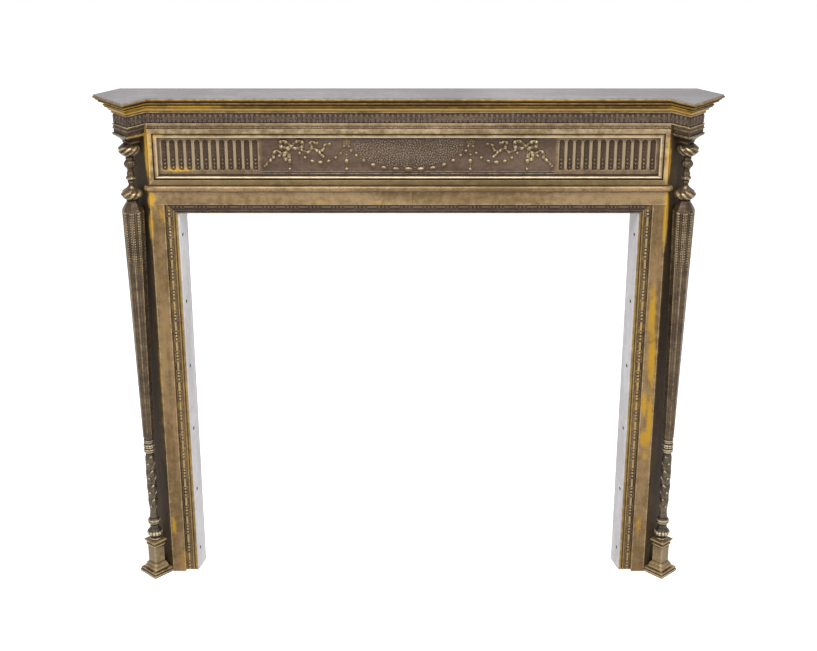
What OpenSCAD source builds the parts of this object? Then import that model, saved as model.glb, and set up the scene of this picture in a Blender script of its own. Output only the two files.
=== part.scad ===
// Cast brass fireplace surround: a shelf on a carved entablature with canted corners,
// two legs, and a slender colonnette standing clear of each canted corner.
// X runs along the wall, the room is towards -Y, and the floor is Z = 0. The origin is in the
// middle of the width and of the depth. Sizes in plan are taken from the wall.

/* [Overall] */
// Width of the shelf over its two corner points
shelf_w = 1400; // [1150:10:1750]
// Depth of the shelf from the wall to its foremost points
shelf_d = 130; // [118:1:160]
// Height of the fire opening
opening_h = 942; // [760:2:1150]
// How far the face of the legs and lintel stands out from the wall
face_d = 60; // [50:1:80]

/* [Entablature] */
// How far the leaf band's face stands out from the wall
leaf_d = 52; // [42:1:58]
// How far the shelf stands out past the leaf band
shelf_over = 30; // [22:1:40]
// Width of the block over each colonnette
block_w = 51; // [42:1:62]
// How far the block stands out from the canted panel
block_out = 44.7; // [36:0.1:54]
// Thickness of the steel sheet on the shelf
sheet_t = 3; // [1:0.5:5]
// Thickness of the shelf plate
plate_t = 3; // [2:0.5:6]
// Depth of the shelf's moulded edge below its plate
rim_h = 5; // [3:0.5:10]
// Height of the moulding under the shelf
cornice_h = 33; // [28:1:44]
// Height of the leaf band
leaf_h = 29; // [24:1:40]
// Length of one palmette of the leaf band
palmette_l = 58; // [44:1:80]
// Wall of the hollow castings
wall = 5; // [3:0.5:7]

/* [Frieze] */
// Height of the frieze panels
panel_h = 87; // [74:1:110]
// Length of the middle panel
swag_panel_w = 660; // [560:5:760]
// How far the panels lie behind the face
panel_back = 12; // [8:0.5:15]
// Thickness of the panels
panel_t = 6; // [5:0.5:9]
// Width of the inner fascia of the frame
fascia_in = 10; // [7:0.5:14]
// Width of the outer fascia of the frame
fascia_out = 11; // [7:0.5:14]
// Step between the two fasciae
fascia_step = 3.5; // [2:0.5:6]
// Height of the hollow and fillet over the frame
frame_cap_h = 10; // [8:0.5:14]
// Spacing of the flutes
flute_pitch = 18; // [16:0.5:26]
// Width of a flute
flute_w = 12; // [8:0.5:14]
// Depth of a flute
flute_depth = 3.5; // [2:0.1:4]
// Plain margin over and under the flutes
flute_margin = 6; // [4:0.5:9]
// Radius of the beads in the flutes
flute_bead_r = 2.7; // [2:0.1:3.5]

/* [Middle panel] */
// Distance from the middle to each ribbon bow
bow_x = 267; // [230:1:270]
// Distance from the middle to each rosette
rosette_x = 139; // [120:1:160]
// Drop of the long swag between the rosettes
swag_drop = 47; // [36:1:50]
// Drop of the short swags beside it
short_swag_drop = 33; // [26:1:36]
// Half length of the largest bead of the long swag
bead_r = 9; // [6:0.5:11]

/* [Lintel and legs] */
// Height of the rounded moulding under the frieze
torus_h = 18; // [12:1:24]
// How far that moulding stands out from the face
torus_out = 8; // [4:0.5:10]
// Height of the flat band of the lintel
lintel_flat_h = 30; // [22:1:40]
// Width of the flat band of the legs
leg_flat_w = 32; // [24:1:44]
// Width of the carved strip beside the opening
strip_w = 28; // [22:1:36]
// Height of the carved strip over the opening
strip_h = 23; // [18:1:36]
// How far the carved strip lies behind the face
strip_back = 10; // [6:1:14]
// Place of the lintel's joint to the right of the middle
lintel_joint_x = 10; // [-40:1:40]
// Width of the fillet at the strip's opening edge
strip_fillet_w = 4.5; // [3:0.5:6]
// Width of the groove beside that fillet, and of the narrow fillet after it
strip_groove_w = 3; // [2:0.5:4]
// How far the fillets and the bars stand out of the strip
strip_proud = 2.5; // [1:0.5:4]
// Plain margin on each side of the strip's bars
strip_margin = 1; // [0.5:0.5:2]
// Length of one unit of the strip's carving
strip_unit = 52; // [40:1:64]
// Length of the plain bar in each unit
strip_bar_l = 24; // [16:1:30]

/* [Return plates] */
// Thickness of the steel plates inside the opening
return_t = 3; // [2:0.5:5]
// How far each side plate leans into the opening at the wall
return_splay = 12; // [0:1:20]
// Radius of the fixing holes
hole_r = 2.5; // [2:0.1:4]
// Height of the lowest fixing hole
hole_z = 54; // [30:1:80]
// Distance of the highest fixing hole below the top of the opening
hole_top = 58; // [30:1:80]
// Distance of the holes behind the front of the plate
hole_back = 16; // [8:1:24]
// Number of fixing holes in each plate
hole_count = 6; // [2:1:6]

/* [Colonnettes] */
// Distance from the canted panel to the axis
column_off = 25.5; // [25.5:0.1:32]
// Height of the square plinth
plinth_h = 13; // [9:0.5:20]
// Half the side of the plinth
plinth_s = 28.6; // [24:0.1:34]
// Height of the pedestal over the plinth
pedestal_h = 81; // [60:1:110]
// Half the side of the pedestal's die
die_s = 14.2; // [11:0.1:17]
// Height of the ringed base over the pedestal
ringed_base_h = 74; // [56:1:90]
// Height of the leaf-wrapped foot of the shaft
leaf_foot_h = 163; // [120:1:220]
// Height of the collar under the shaft
collar_h = 41; // [30:1:56]
// Radius of the shaft over its corners at the collar
shaft_foot_r = 11; // [9:0.1:13]
// Radius of the shaft over its corners at its top
shaft_top_r = 24.5; // [19:0.1:25]
// Height of the domed cap of the shaft
dome_h = 19; // [12:1:26]
// Height of the turned baluster under the capital
baluster_h = 137; // [110:1:170]
// Greatest radius of the baluster's lower knop
knop_r = 25; // [20:0.1:25]
// Height of the tapered capital
capital_h = 20; // [14:1:28]

/* [Hidden] */
$fn = 48;
diag = sqrt(2);

// Heights, from the floor up.
flat_z = opening_h + strip_h;
torus_z = flat_z + lintel_flat_h;
frame_z = torus_z + torus_h;
panel_z = frame_z + fascia_out + fascia_in;
panel_top_z = panel_z + panel_h;
cap_z = panel_top_z + fascia_in + fascia_out;
leaf_z = cap_z + frame_cap_h;
cornice_z = leaf_z + leaf_h;
sheet_z = cornice_z + cornice_h + plate_t;
plate_z = cornice_z + cornice_h;
total_h = sheet_z + sheet_t;

// Plan of the entablature. A canted edge is a line x + y = s or x - y = f.
block_span = (block_w + 2 * shelf_over) * diag;
side_s = shelf_w / 2 - shelf_d + block_span / 2 - shelf_over * diag;
inner_s = side_s - block_w * diag;
front_f = shelf_w / 2 + shelf_d - block_span / 2 - shelf_over * diag;

// Plan of the body behind it: the canted panel lies on the line x - y = cant_f.
cant_f = front_f - block_out * diag;
corner_x = cant_f - face_d;
cant_back_x = cant_f - 6;
axis_x = ((side_s + inner_s) / 2 + cant_f + column_off * diag) / 2;
axis_y = ((side_s + inner_s) / 2 - cant_f - column_off * diag) / 2;
leg_in_x = corner_x - leg_flat_w;
open_x = leg_in_x - strip_w;
strip_y = face_d - strip_back;
strip_fillets_w = strip_fillet_w + 2 * strip_groove_w;
strip_fillets = [[0, strip_fillet_w], [strip_fillet_w + strip_groove_w, strip_fillets_w]];
hole_pitch = (opening_h - hole_z - hole_top) / (hole_count - 1);

// Plan of the frieze.
frame_x = corner_x - wall * tan(22.5);
panel_x = frame_x - fascia_out - fascia_in;
swag_x = swag_panel_w / 2;
panel_y = face_d - panel_back;
seat_y = panel_y - panel_t;
frame_w = fascia_in + fascia_out;

// Heights of the colonnette, from the floor up and from the block down.
lip_h = leaf_z - panel_top_z - 9;
block_z = leaf_z - lip_h;
capital_z = block_z - capital_h;
baluster_z = capital_z - baluster_h;
dome_z = baluster_z - dome_h;
pedestal_z = plinth_h;
base_z = pedestal_z + pedestal_h;
leaf_foot_z = base_z + ringed_base_h;
collar_z = leaf_foot_z + leaf_foot_h;
shaft_z = collar_z + collar_h;

// The entablature's outline in plan, d outside the face of the leaf band.
function entablature(d) = let(
    s = side_s + d * diag, i = inner_s - d * diag, f = front_f + d * diag, y = leaf_d + d,
    half = [[i + y, -y], [(i + f) / 2, (i - f) / 2], [(s + f) / 2, (s - f) / 2], [s, 0]])
  concat([for (k = [3:-1:0]) [-half[k][0], half[k][1]]], half);

// The body's outline in plan, d outside the face, wrapping a little way round each cant.
function face_wrap(d, along) = let(
    x = corner_x + d * tan(22.5), y = face_d + d, a = along / diag,
    half = [[x, -y], [corner_x + d / diag + a, -face_d - d / diag + a]])
  [[-half[1][0], half[1][1]], [-half[0][0], half[0][1]], half[0], half[1]];

// Points along an arc.
function arc(c, r, a, b, n = 5) =
  [for (k = [0:n]) c + r * [cos(a + (b - a) * k / n), sin(a + (b - a) * k / n)]];

// A swelling from height a to height b with end radii ra and rb, as [radius, height].
function swelling(a, b, ra, rb, rise, n = 10) =
  [for (k = [0:n]) [ra + (rb - ra) * k / n + rise * sin(180 * k / n), a + (b - a) * k / n]];

// Sweeps a profile of [outward, height] points along rings of plan points, mitred at each.
module moulding(rings, profile_z) {
  n = len(profile_z);
  m = len(rings[0]);
  points = [for (k = [0:m - 1]) for (i = [0:n - 1]) [rings[i][k][0], rings[i][k][1], profile_z[i]]];
  sides = [for (k = [0:m - 2]) for (i = [0:n - 1]) let(j = (i + 1) % n)
      [k * n + i, k * n + j, (k + 1) * n + j, (k + 1) * n + i]];
  polyhedron(points, concat([[for (i = [n - 1:-1:0]) i]], sides, [[for (i = [0:n - 1]) (m - 1) * n + i]]));
}

module entablature_moulding(profile)
  moulding([for (p = profile) entablature(p[0])], [for (p = profile) p[1]]);

// Extrudes a profile of [y, z] points along X.
module run_x(x0, x1, profile)
  translate([x0, 0, 0]) rotate([90, 0, 90]) linear_extrude(x1 - x0) polygon(profile);

// Extrudes an outline of [x, z] points from the plane y0 to the plane y1.
module front_plate(y0, y1, outline)
  translate([0, y1, 0]) rotate([90, 0, 0]) linear_extrude(y1 - y0) polygon(outline);

// Moves children whose Y is measured from the wall, so that the depth is centred on the origin.
module from_wall() translate([0, shelf_d / 2, 0]) children();

// Puts its children at the right or left side, in mirror image.
module on_side(side) mirror([side < 0 ? 1 : 0, 0, 0]) children();

// Puts its children on the right colonnette's axis, with X straight out from the canted panel.
module at_axis(side) on_side(side) translate([axis_x, axis_y, 0]) rotate(-45) children();

// --- Shelf and cornice ---

module shelf_sheet() color([0.68, 0.67, 0.68]) from_wall()
  translate([0, 0, sheet_z]) linear_extrude(sheet_t) polygon(entablature(shelf_over - 1.5));

module mantel_shelf() color([0.66, 0.5, 0.3]) from_wall() {
  translate([0, 0, plate_z]) linear_extrude(plate_t) polygon(entablature(shelf_over));
  entablature_moulding([
    [shelf_over - 6, plate_z], [shelf_over - 6, plate_z - rim_h], [shelf_over - 1, plate_z - rim_h],
    [shelf_over, plate_z]]);
}

module cornice_moulding() color([0.72, 0.52, 0.28]) from_wall() {
  low = cornice_z;
  top = plate_z;
  entablature_moulding(concat(
    [[-wall, low], [2.5, low], [2.5, low + 3], [0.5, low + 4.5], [0.5, low + 6], [9, low + 6]],
    arc([16, low + 11], 7, 205, 120, 4),
    [[18.5, low + 17], [18.5, low + 20], [16.5, low + 21.5], [23, low + 23], [23, low + 26],
     [20, low + 27], [shelf_over - 6, top - rim_h], [shelf_over - 6, top],
     [shelf_over - 11, top], [11, low + 20], [-wall, low + 8]]));
}

// --- Leaf band ---

// One palmette: five leaves that fan out from a curl, on a plane facing -Y.
module palmette(h) {
  for (k = [-2:2]) rotate([0, k * 19, 0]) translate([0, 0, h * 0.3]) {
    cylinder(h = h * 0.42 - abs(k) * 1.2, r1 = 1.5, r2 = 2.9, $fn = 16);
    translate([0, 0, h * 0.42 - abs(k) * 1.2]) sphere(r = 2.9, $fn = 16);
  }
  sphere(r = 3.2, $fn = 16);
}

module leaf_band() color([0.37, 0.29, 0.24]) from_wall() {
  face_h = leaf_h - 6;
  count = floor((2 * inner_s + 2 * leaf_d - 16) / palmette_l);
  entablature_moulding([
    [-wall, leaf_z], [2, leaf_z], [2, leaf_z + 2.5], [0, leaf_z + 3], [0, leaf_z + leaf_h - 3],
    [2, leaf_z + leaf_h - 2.5], [2, leaf_z + leaf_h], [-wall, leaf_z + leaf_h]]);
  for (k = [0:count - 1])
    translate([(k - (count - 1) / 2) * palmette_l, -leaf_d + 0.6, leaf_z + 6]) palmette(face_h);
}

// --- Frieze frame and panels ---

// Section of the frame, as [distance out from the panel, distance from the wall].
function frame_section() = [
  [0, seat_y], [0, face_d - fascia_step - 1], [1, face_d - fascia_step],
  [fascia_in, face_d - fascia_step], [fascia_in, face_d - 1], [fascia_in + 1, face_d],
  [frame_w, face_d], [frame_w, seat_y]];

// The frame along its top or foot, cut square at x0 and x1 or mitred where the frame ends.
module frame_run(x0, x1, z, up) {
  lo = x0 < -panel_x ? -frame_x : x0;
  hi = x1 > panel_x ? frame_x : x1;
  lo_in = x0 < -panel_x ? -panel_x : x0;
  hi_in = x1 > panel_x ? panel_x : x1;
  intersection() {
    run_x(lo, hi, [for (p = frame_section()) [-p[1], z + up * p[0]]]);
    front_plate(-face_d - 1, 0, [[lo_in, z], [hi_in, z], [hi, z + up * frame_w], [lo, z + up * frame_w]]);
  }
}

// The fillet and hollow that carry the leaf band over the frame.
module frame_cap(x0, x1) {
  lo = x0 < -panel_x ? -frame_x : x0;
  hi = x1 > panel_x ? frame_x : x1;
  hollow = frame_cap_h - 4;
  run_x(lo, hi, concat(
    [[-seat_y, cap_z], [-face_d, cap_z]],
    arc([-face_d, cap_z + hollow + 0.5], hollow, -90, 0, 4),
    [[-leaf_d - 2.5, cap_z + hollow + 1], [-leaf_d - 2.5, leaf_z], [-seat_y, leaf_z]]));
}

module frame_top(x0, x1) color([0.72, 0.6, 0.46]) from_wall() {
  frame_run(x0, x1, panel_top_z, 1);
  frame_cap(x0, x1);
}

module frame_bottom(x0, x1) color([0.76, 0.66, 0.52]) from_wall() frame_run(x0, x1, panel_z, -1);

module frame_side(side) color([0.7, 0.57, 0.42]) from_wall() on_side(side) intersection() {
  translate([0, 0, frame_z]) linear_extrude(cap_z - frame_z)
    polygon([for (p = frame_section()) [panel_x + p[0], -p[1]]]);
  front_plate(-face_d - 1, 0, [
    [panel_x, panel_z], [frame_x, frame_z], [frame_x, cap_z], [panel_x, panel_top_z]]);
}

// A flute with round ends, cut into a face at y = 0 that looks towards -Y.
module flute(z0, z1) {
  half = flute_w / 2;
  r = (half * half + flute_depth * flute_depth) / (2 * flute_depth);
  translate([0, flute_depth - r, 0]) {
    translate([0, 0, z0 + half]) {
      cylinder(h = z1 - z0 - flute_w, r = r);
      sphere(r = r);
    }
    translate([0, 0, z1 - half]) sphere(r = r);
  }
}

module fluted_panel(side) color([0.5, 0.43, 0.33]) from_wall() on_side(side) {
  zone = panel_x - swag_x;
  count = floor((zone - flute_pitch / 2) / flute_pitch);
  first = swag_x + (zone - (count - 1) * flute_pitch) / 2;
  z0 = panel_z + flute_margin;
  z1 = panel_top_z - flute_margin;
  difference() {
    translate([swag_x, -panel_y, panel_z]) cube([zone, panel_t, panel_h]);
    for (k = [0:count - 1]) translate([first + k * flute_pitch, -panel_y, 0]) flute(z0, z1);
  }
  for (k = [0:count - 1], b = [0:2])
    translate([first + k * flute_pitch, -panel_y + flute_depth - 0.7, z0 + flute_w / 2 + 2 + b * 10.3])
      sphere(r = flute_bead_r, $fn = 24);
}

// A bead of a given half length and half height, turned on its long axis.
module long_bead(l, r)
  rotate([0, 90, 0]) rotate_extrude($fn = 20)
    polygon(concat([[0, -l]], [for (a = [-60:30:60]) [r * cos(a), l * sin(a)]], [[0, l]]));

// A swag of beads that hangs between x0 and x1, its beads largest at the middle.
module swag(x0, x1, z, drop, count, big, small) {
  mid = (x0 + x1) / 2;
  half = (x1 - x0) / 2;
  for (k = [0:count - 1]) {
    t = -1 + (2 * k + 1) / count;
    r = small + (big - small) * (1 - abs(t));
    translate([mid + t * half, 0, z - drop * (1 - t * t)])
      rotate([0, -atan(2 * drop * t / half), 0]) long_bead(r, r * 0.62);
  }
}

// A bead pendant under a bow or a rosette, from height z down.
module pendant(z) {
  translate([0, 0, z - 26]) sphere(r = 2.6, $fn = 24);
  translate([0, 0, z - 40]) rotate([0, -90, 0]) long_bead(7.5, 5);
  translate([0, 0, z - 57]) sphere(r = 3.4, $fn = 24);
}

module rosette(z) translate([0, 0, z]) {
  for (a = [0:60:300]) rotate([0, a, 0]) translate([6, 0.8, 0]) sphere(r = 3.4, $fn = 24);
  sphere(r = 3.6, $fn = 24);
}

// A loop of ribbon, part of a ring that starts at angle a.
module ribbon(x, z, r, a, sweep)
  translate([x, 0, z]) rotate([90, 0, 0]) rotate(a) rotate_extrude(angle = sweep, $fn = 32)
    translate([r, 0]) circle(r = 1.7, $fn = 16);

module ribbon_bow(z) {
  for (s = [-1, 1]) on_side(s) {
    ribbon(15, z, 9, -150, 300);
    ribbon(23, z - 27, 11, 20, 150);
    ribbon(44, z - 33, 10, -170, 120);
  }
  translate([0, 0, z]) sphere(r = 5, $fn = 24);
}

module swag_panel() color([0.42, 0.35, 0.3]) from_wall() {
  top = panel_top_z - 13;
  translate([-swag_x, -panel_y, panel_z]) cube([swag_panel_w, panel_t, panel_h]);
  translate([0, -panel_y, 0]) {
    swag(-rosette_x + 8, rosette_x - 8, top - 14, swag_drop, 15, bead_r, 3.2);
    for (s = [-1, 1]) {
      translate([s * rosette_x, 0, 0]) rosette(top);
      translate([s * rosette_x, 0, 0]) pendant(top);
      translate([s * bow_x, 0, 0]) ribbon_bow(top - 4);
      translate([s * bow_x, 0, 0]) pendant(top);
      mirror([s < 0 ? 1 : 0, 0, 0])
        swag(rosette_x + 8, bow_x - 8, top - 14, short_swag_drop, 7, 6, 3);
    }
  }
}

// --- Lintel and legs ---

module torus_moulding() color([0.6, 0.48, 0.33]) from_wall() {
  r = torus_h / 2 - 2;
  mid = torus_z + torus_h / 2;
  profile = concat(
    [[0, torus_z], [1.5, torus_z], [1.5, torus_z + 2]],
    arc([torus_out - r, mid], r, -75, 75, 6),
    [[1.5, frame_z - 2], [1.5, frame_z], [0, frame_z]]);
  moulding([for (p = profile) face_wrap(p[0], 8)], [for (p = profile) p[1]]);
  front_band(-corner_x, corner_x, torus_z, torus_h);
}

// A plate of the face from x0 to x1, mitred where it meets a canted panel.
module front_band(x0, x1, z, h) {
  in = wall * tan(22.5);
  translate([0, 0, z]) linear_extrude(h) polygon([
    [x0, -face_d], [x1, -face_d],
    [x1 < corner_x ? x1 : x1 - in, -face_d + wall], [x0 > -corner_x ? x0 : x0 + in, -face_d + wall]]);
}

// Half of the lintel from x0 to x1: a face plate with a lip that the carved strip meets.
module lintel_half(x0, x1) color([0.7, 0.57, 0.43]) from_wall() {
  lo = max(x0, -leg_in_x);
  hi = min(x1, leg_in_x);
  front_band(x0, x1, flat_z, lintel_flat_h);
  front_plate(-face_d + wall, -strip_y + wall, [
    [lo, flat_z], [hi, flat_z], [hi, flat_z + wall], [lo, flat_z + wall]]);
}

module leg_face(side) color([0.72, 0.58, 0.42]) from_wall() on_side(side)
  linear_extrude(flat_z) polygon([
    [leg_in_x, -face_d], [corner_x, -face_d], [corner_x - wall * tan(22.5), -face_d + wall],
    [leg_in_x + wall, -face_d + wall], [leg_in_x + wall, -strip_y + wall], [leg_in_x, -strip_y + wall]]);

// The plain bars of a carved strip, with beads between them, at even steps along its run.
module strip_bars(length, across) {
  count = floor((length - strip_bar_l) / strip_unit);
  for (k = [0:count]) translate([(length - count * strip_unit) / 2 + k * strip_unit, 0, 0]) {
    translate([-strip_bar_l / 2, -strip_proud, -across / 2]) cube([strip_bar_l, strip_proud + 0.5, across]);
    if (k < count) for (b = [-1:1])
      translate([strip_unit / 2 + b * 8, 0, -across / 2]) cylinder(h = across, r = 3, $fn = 24);
  }
}

module carved_strip_side(side) color([0.4, 0.32, 0.24]) from_wall() on_side(side) {
  front_plate(-strip_y, -strip_y + wall, [
    [open_x, 0], [leg_in_x, 0], [leg_in_x, flat_z], [open_x, opening_h]]);
  for (x = strip_fillets)
    front_plate(-strip_y - strip_proud, -strip_y, [
      [open_x + x[0], 0], [open_x + x[1], 0], [open_x + x[1], opening_h], [open_x + x[0], opening_h]]);
  translate([(open_x + strip_fillets_w + leg_in_x) / 2, -strip_y, 0]) rotate([0, -90, 0])
    strip_bars(opening_h, strip_w - strip_fillets_w - 2 * strip_margin);
}

module carved_strip_top() color([0.36, 0.29, 0.23]) from_wall() {
  front_plate(-strip_y, -strip_y + wall, [
    [-open_x, opening_h], [open_x, opening_h], [leg_in_x, flat_z], [-leg_in_x, flat_z]]);
  for (z = strip_fillets)
    front_plate(-strip_y - strip_proud, -strip_y, [
      [-open_x, opening_h + z[0]], [open_x, opening_h + z[0]],
      [open_x, opening_h + z[1]], [-open_x, opening_h + z[1]]]);
  translate([-open_x, -strip_y, (opening_h + strip_fillets_w + flat_z) / 2])
    strip_bars(2 * open_x, strip_h - strip_fillets_w - 2 * strip_margin);
}

module canted_panel(side) color([0.2, 0.17, 0.14]) from_wall() on_side(side)
  linear_extrude(leaf_z) polygon([
    [corner_x, -face_d], [cant_back_x, cant_back_x - cant_f], [cant_back_x, 0], [cant_back_x - wall, 0],
    [cant_back_x - wall, cant_back_x - cant_f - wall + wall * diag],
    [corner_x - wall * tan(22.5), -face_d + wall]]);

// --- Return plates inside the opening ---

module return_plate_side(side) color([0.75, 0.74, 0.75]) from_wall() on_side(side) difference() {
  linear_extrude(opening_h) polygon([
    [open_x, -strip_y + wall], [open_x, -strip_y], [open_x - return_t, -strip_y],
    [open_x - return_splay - return_t, 0], [open_x - return_splay, 0]]);
  for (k = [0:hole_count - 1])
    translate([open_x - return_splay - return_t - 5, -strip_y + hole_back, hole_z + k * hole_pitch])
      rotate([0, 90, 0]) cylinder(h = return_splay + return_t + 10, r = hole_r);
}

module return_plate_top() color([0.7, 0.69, 0.7]) from_wall()
  translate([0, 0, opening_h]) linear_extrude(return_t) polygon([
    [-open_x, -strip_y + wall], [open_x, -strip_y + wall], [open_x - return_splay, 0],
    [-open_x + return_splay, 0]]);

// --- Colonnettes ---

module corner_block(side) color([0.45, 0.37, 0.27]) from_wall() at_axis(side) {
  front = block_out - column_off;
  half = block_w / 2;
  steps = [[0, 4, 3], [4, lip_h - 9, 0], [lip_h - 9, lip_h - 6, 2], [lip_h - 6, lip_h, 0.5]];
  for (s = steps) translate([-column_off, -half - s[2], block_z + s[0]])
    cube([front + column_off + s[2], block_w + 2 * s[2], s[1] - s[0]]);
}

module capital(side) color([0.4, 0.34, 0.27]) from_wall() at_axis(side) {
  front = block_out - column_off + 2;
  half = block_w / 2 + 2;
  s = block_w / 4;
  polyhedron(
    [[-s, -s, capital_z], [s, -s, capital_z], [s, s, capital_z], [-s, s, capital_z],
     [-column_off, -half, block_z], [front, -half, block_z], [front, half, block_z],
     [-column_off, half, block_z]],
    [[0, 1, 2, 3], [4, 5, 1, 0], [5, 6, 2, 1], [6, 7, 3, 2], [7, 4, 0, 3], [7, 6, 5, 4]]);
}

// Turned from the foot up, as [radius, height over its foot].
module baluster(side) color([0.36, 0.32, 0.26]) from_wall() at_axis(side)
  translate([0, 0, baluster_z]) rotate_extrude() polygon(concat(
    [[0, 0], [13, 0]],
    swelling(3, 33, 13, 9, knop_r - 11),
    [[6, 37], [5.5, 41], [7, 47]],
    swelling(49, 61, 9, 9, 2, 6),
    [[7, 65], [6.5, 74]],
    swelling(77, 99, 7.5, 8.5, 6),
    [[8, 103], [8, 105]],
    swelling(107, baluster_h - 4, 9, 12, 13.5),
    [[12, baluster_h], [0, baluster_h]]));

module shaft(side) color([0.34, 0.3, 0.26]) from_wall() at_axis(side) rotate(22.5) {
  translate([0, 0, shaft_z]) cylinder(h = dome_z - shaft_z, r1 = shaft_foot_r, r2 = shaft_top_r, $fn = 8);
  translate([0, 0, dome_z]) cylinder(h = dome_h / 2, r1 = shaft_top_r, r2 = shaft_top_r * 0.84, $fn = 8);
  translate([0, 0, dome_z + dome_h / 2])
    cylinder(h = dome_h / 2, r1 = shaft_top_r * 0.84, r2 = 13, $fn = 8);
}

// The ringed base, the leaf-wrapped foot and the collar are one casting.
module column_foot(side) color([0.36, 0.31, 0.27]) from_wall() at_axis(side) {
  rings = collar_h / 3;
  translate([0, 0, base_z]) rotate_extrude() polygon(concat(
    [[0, 0], [14, 0], [14, 3], [12, 6]],
    swelling(ringed_base_h * 0.14, ringed_base_h * 0.42, 13, 13, 3.5, 8),
    [[11, ringed_base_h * 0.46], [11, ringed_base_h * 0.54]],
    swelling(ringed_base_h * 0.56, ringed_base_h * 0.76, 13, 13, 3, 8),
    [[11, ringed_base_h * 0.82], [9, ringed_base_h]],
    swelling(ringed_base_h + 4, ringed_base_h + leaf_foot_h - 6, 9, 10.5, 2.5, 12),
    [[9.5, ringed_base_h + leaf_foot_h]],
    [for (k = [0:2]) for (p = swelling(ringed_base_h + leaf_foot_h + k * rings + 1,
      ringed_base_h + leaf_foot_h + (k + 1) * rings - 1, 10.5, 10.5, 3, 6)) p],
    [[shaft_foot_r, ringed_base_h + leaf_foot_h + collar_h], [0, ringed_base_h + leaf_foot_h + collar_h]]));
}

// A square piece of a colonnette, from [half side, height] pairs given from the foot up.
module square_turned(profile) {
  n = len(profile);
  points = [for (p = profile) for (c = [[-1, -1], [1, -1], [1, 1], [-1, 1]])
      [c[0] * p[0], c[1] * p[0], p[1]]];
  sides = [for (k = [0:n - 2]) for (i = [0:3]) let(j = (i + 1) % 4)
      [4 * k + 4 + i, 4 * k + 4 + j, 4 * k + j, 4 * k + i]];
  polyhedron(points, concat([[0, 1, 2, 3]], sides, [[4 * n - 1, 4 * n - 2, 4 * n - 3, 4 * n - 4]]));
}

module pedestal(side) color([0.38, 0.32, 0.26]) from_wall() at_axis(side) {
  foot = pedestal_z;
  top = base_z;
  square_turned([
    [die_s + 7, foot], [die_s + 7, foot + 4], [die_s + 4.5, foot + 12], [die_s, foot + 17],
    [die_s, top - 20], [die_s + 2.8, top - 17], [die_s + 2.8, top - 14], [die_s + 1, top - 13],
    [die_s + 5, top - 6], [die_s + 6, top - 4.5], [die_s + 6, top]]);
}

module plinth(side) color([0.42, 0.35, 0.27]) from_wall() at_axis(side) {
  translate([-column_off, -plinth_s, 0]) cube([column_off + plinth_s, 2 * plinth_s, plinth_h - 5]);
  translate([-column_off, -plinth_s + 3, 0]) cube([column_off + plinth_s - 3, 2 * plinth_s - 6, plinth_h]);
}

shelf_sheet();
mantel_shelf();
cornice_moulding();
leaf_band();
frame_top(-frame_x, -swag_x);  // frame_top_left
frame_top(-swag_x, swag_x);  // frame_top_middle
frame_top(swag_x, frame_x);  // frame_top_right
frame_bottom(-frame_x, -swag_x);  // frame_bottom_left
frame_bottom(-swag_x, swag_x);  // frame_bottom_middle
frame_bottom(swag_x, frame_x);  // frame_bottom_right
frame_side(-1);  // frame_side_left
frame_side(1);  // frame_side_right
fluted_panel(-1);  // fluted_panel_left
fluted_panel(1);  // fluted_panel_right
swag_panel();
torus_moulding();
lintel_half(-corner_x, lintel_joint_x);  // lintel_left
lintel_half(lintel_joint_x, corner_x);  // lintel_right
leg_face(-1);  // leg_face_left
leg_face(1);  // leg_face_right
carved_strip_side(-1);  // carved_strip_left
carved_strip_side(1);  // carved_strip_right
carved_strip_top();
canted_panel(-1);  // canted_panel_left
canted_panel(1);  // canted_panel_right
return_plate_side(-1);  // return_plate_left
return_plate_side(1);  // return_plate_right
return_plate_top();
corner_block(-1);  // corner_block_left
corner_block(1);  // corner_block_right
capital(-1);  // capital_left
capital(1);  // capital_right
baluster(-1);  // baluster_left
baluster(1);  // baluster_right
shaft(-1);  // shaft_left
shaft(1);  // shaft_right
column_foot(-1);  // column_foot_left
column_foot(1);  // column_foot_right
pedestal(-1);  // pedestal_left
pedestal(1);  // pedestal_right
plinth(-1);  // plinth_left
plinth(1);  // plinth_right
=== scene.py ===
"""Cast brass fireplace surround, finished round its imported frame.

Lengths are in metres, apart from those that MM or above() turns from millimetres into metres. The
main heights and widths come from the frame's own boxes, and the finer relief has its sizes beside it.
"""
import math
from functools import partial
import bmesh
import bpy
import numpy as np
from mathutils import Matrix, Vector


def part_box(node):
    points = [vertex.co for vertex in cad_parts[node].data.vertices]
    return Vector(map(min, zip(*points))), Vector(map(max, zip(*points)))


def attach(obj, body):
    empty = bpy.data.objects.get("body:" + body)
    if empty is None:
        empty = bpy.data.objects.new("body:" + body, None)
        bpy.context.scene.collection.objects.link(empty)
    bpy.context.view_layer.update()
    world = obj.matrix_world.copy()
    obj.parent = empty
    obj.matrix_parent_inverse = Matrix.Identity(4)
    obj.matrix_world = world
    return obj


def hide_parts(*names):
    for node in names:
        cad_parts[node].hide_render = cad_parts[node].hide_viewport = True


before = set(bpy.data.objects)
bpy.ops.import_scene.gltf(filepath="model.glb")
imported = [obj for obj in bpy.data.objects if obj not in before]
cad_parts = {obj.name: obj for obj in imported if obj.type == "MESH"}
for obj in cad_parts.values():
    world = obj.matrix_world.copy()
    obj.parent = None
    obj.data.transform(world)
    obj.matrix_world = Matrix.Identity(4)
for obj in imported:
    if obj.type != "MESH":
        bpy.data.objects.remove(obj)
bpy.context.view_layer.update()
MM = 0.001

# ---------------------------------------------------------------- plan of the surround

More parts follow.
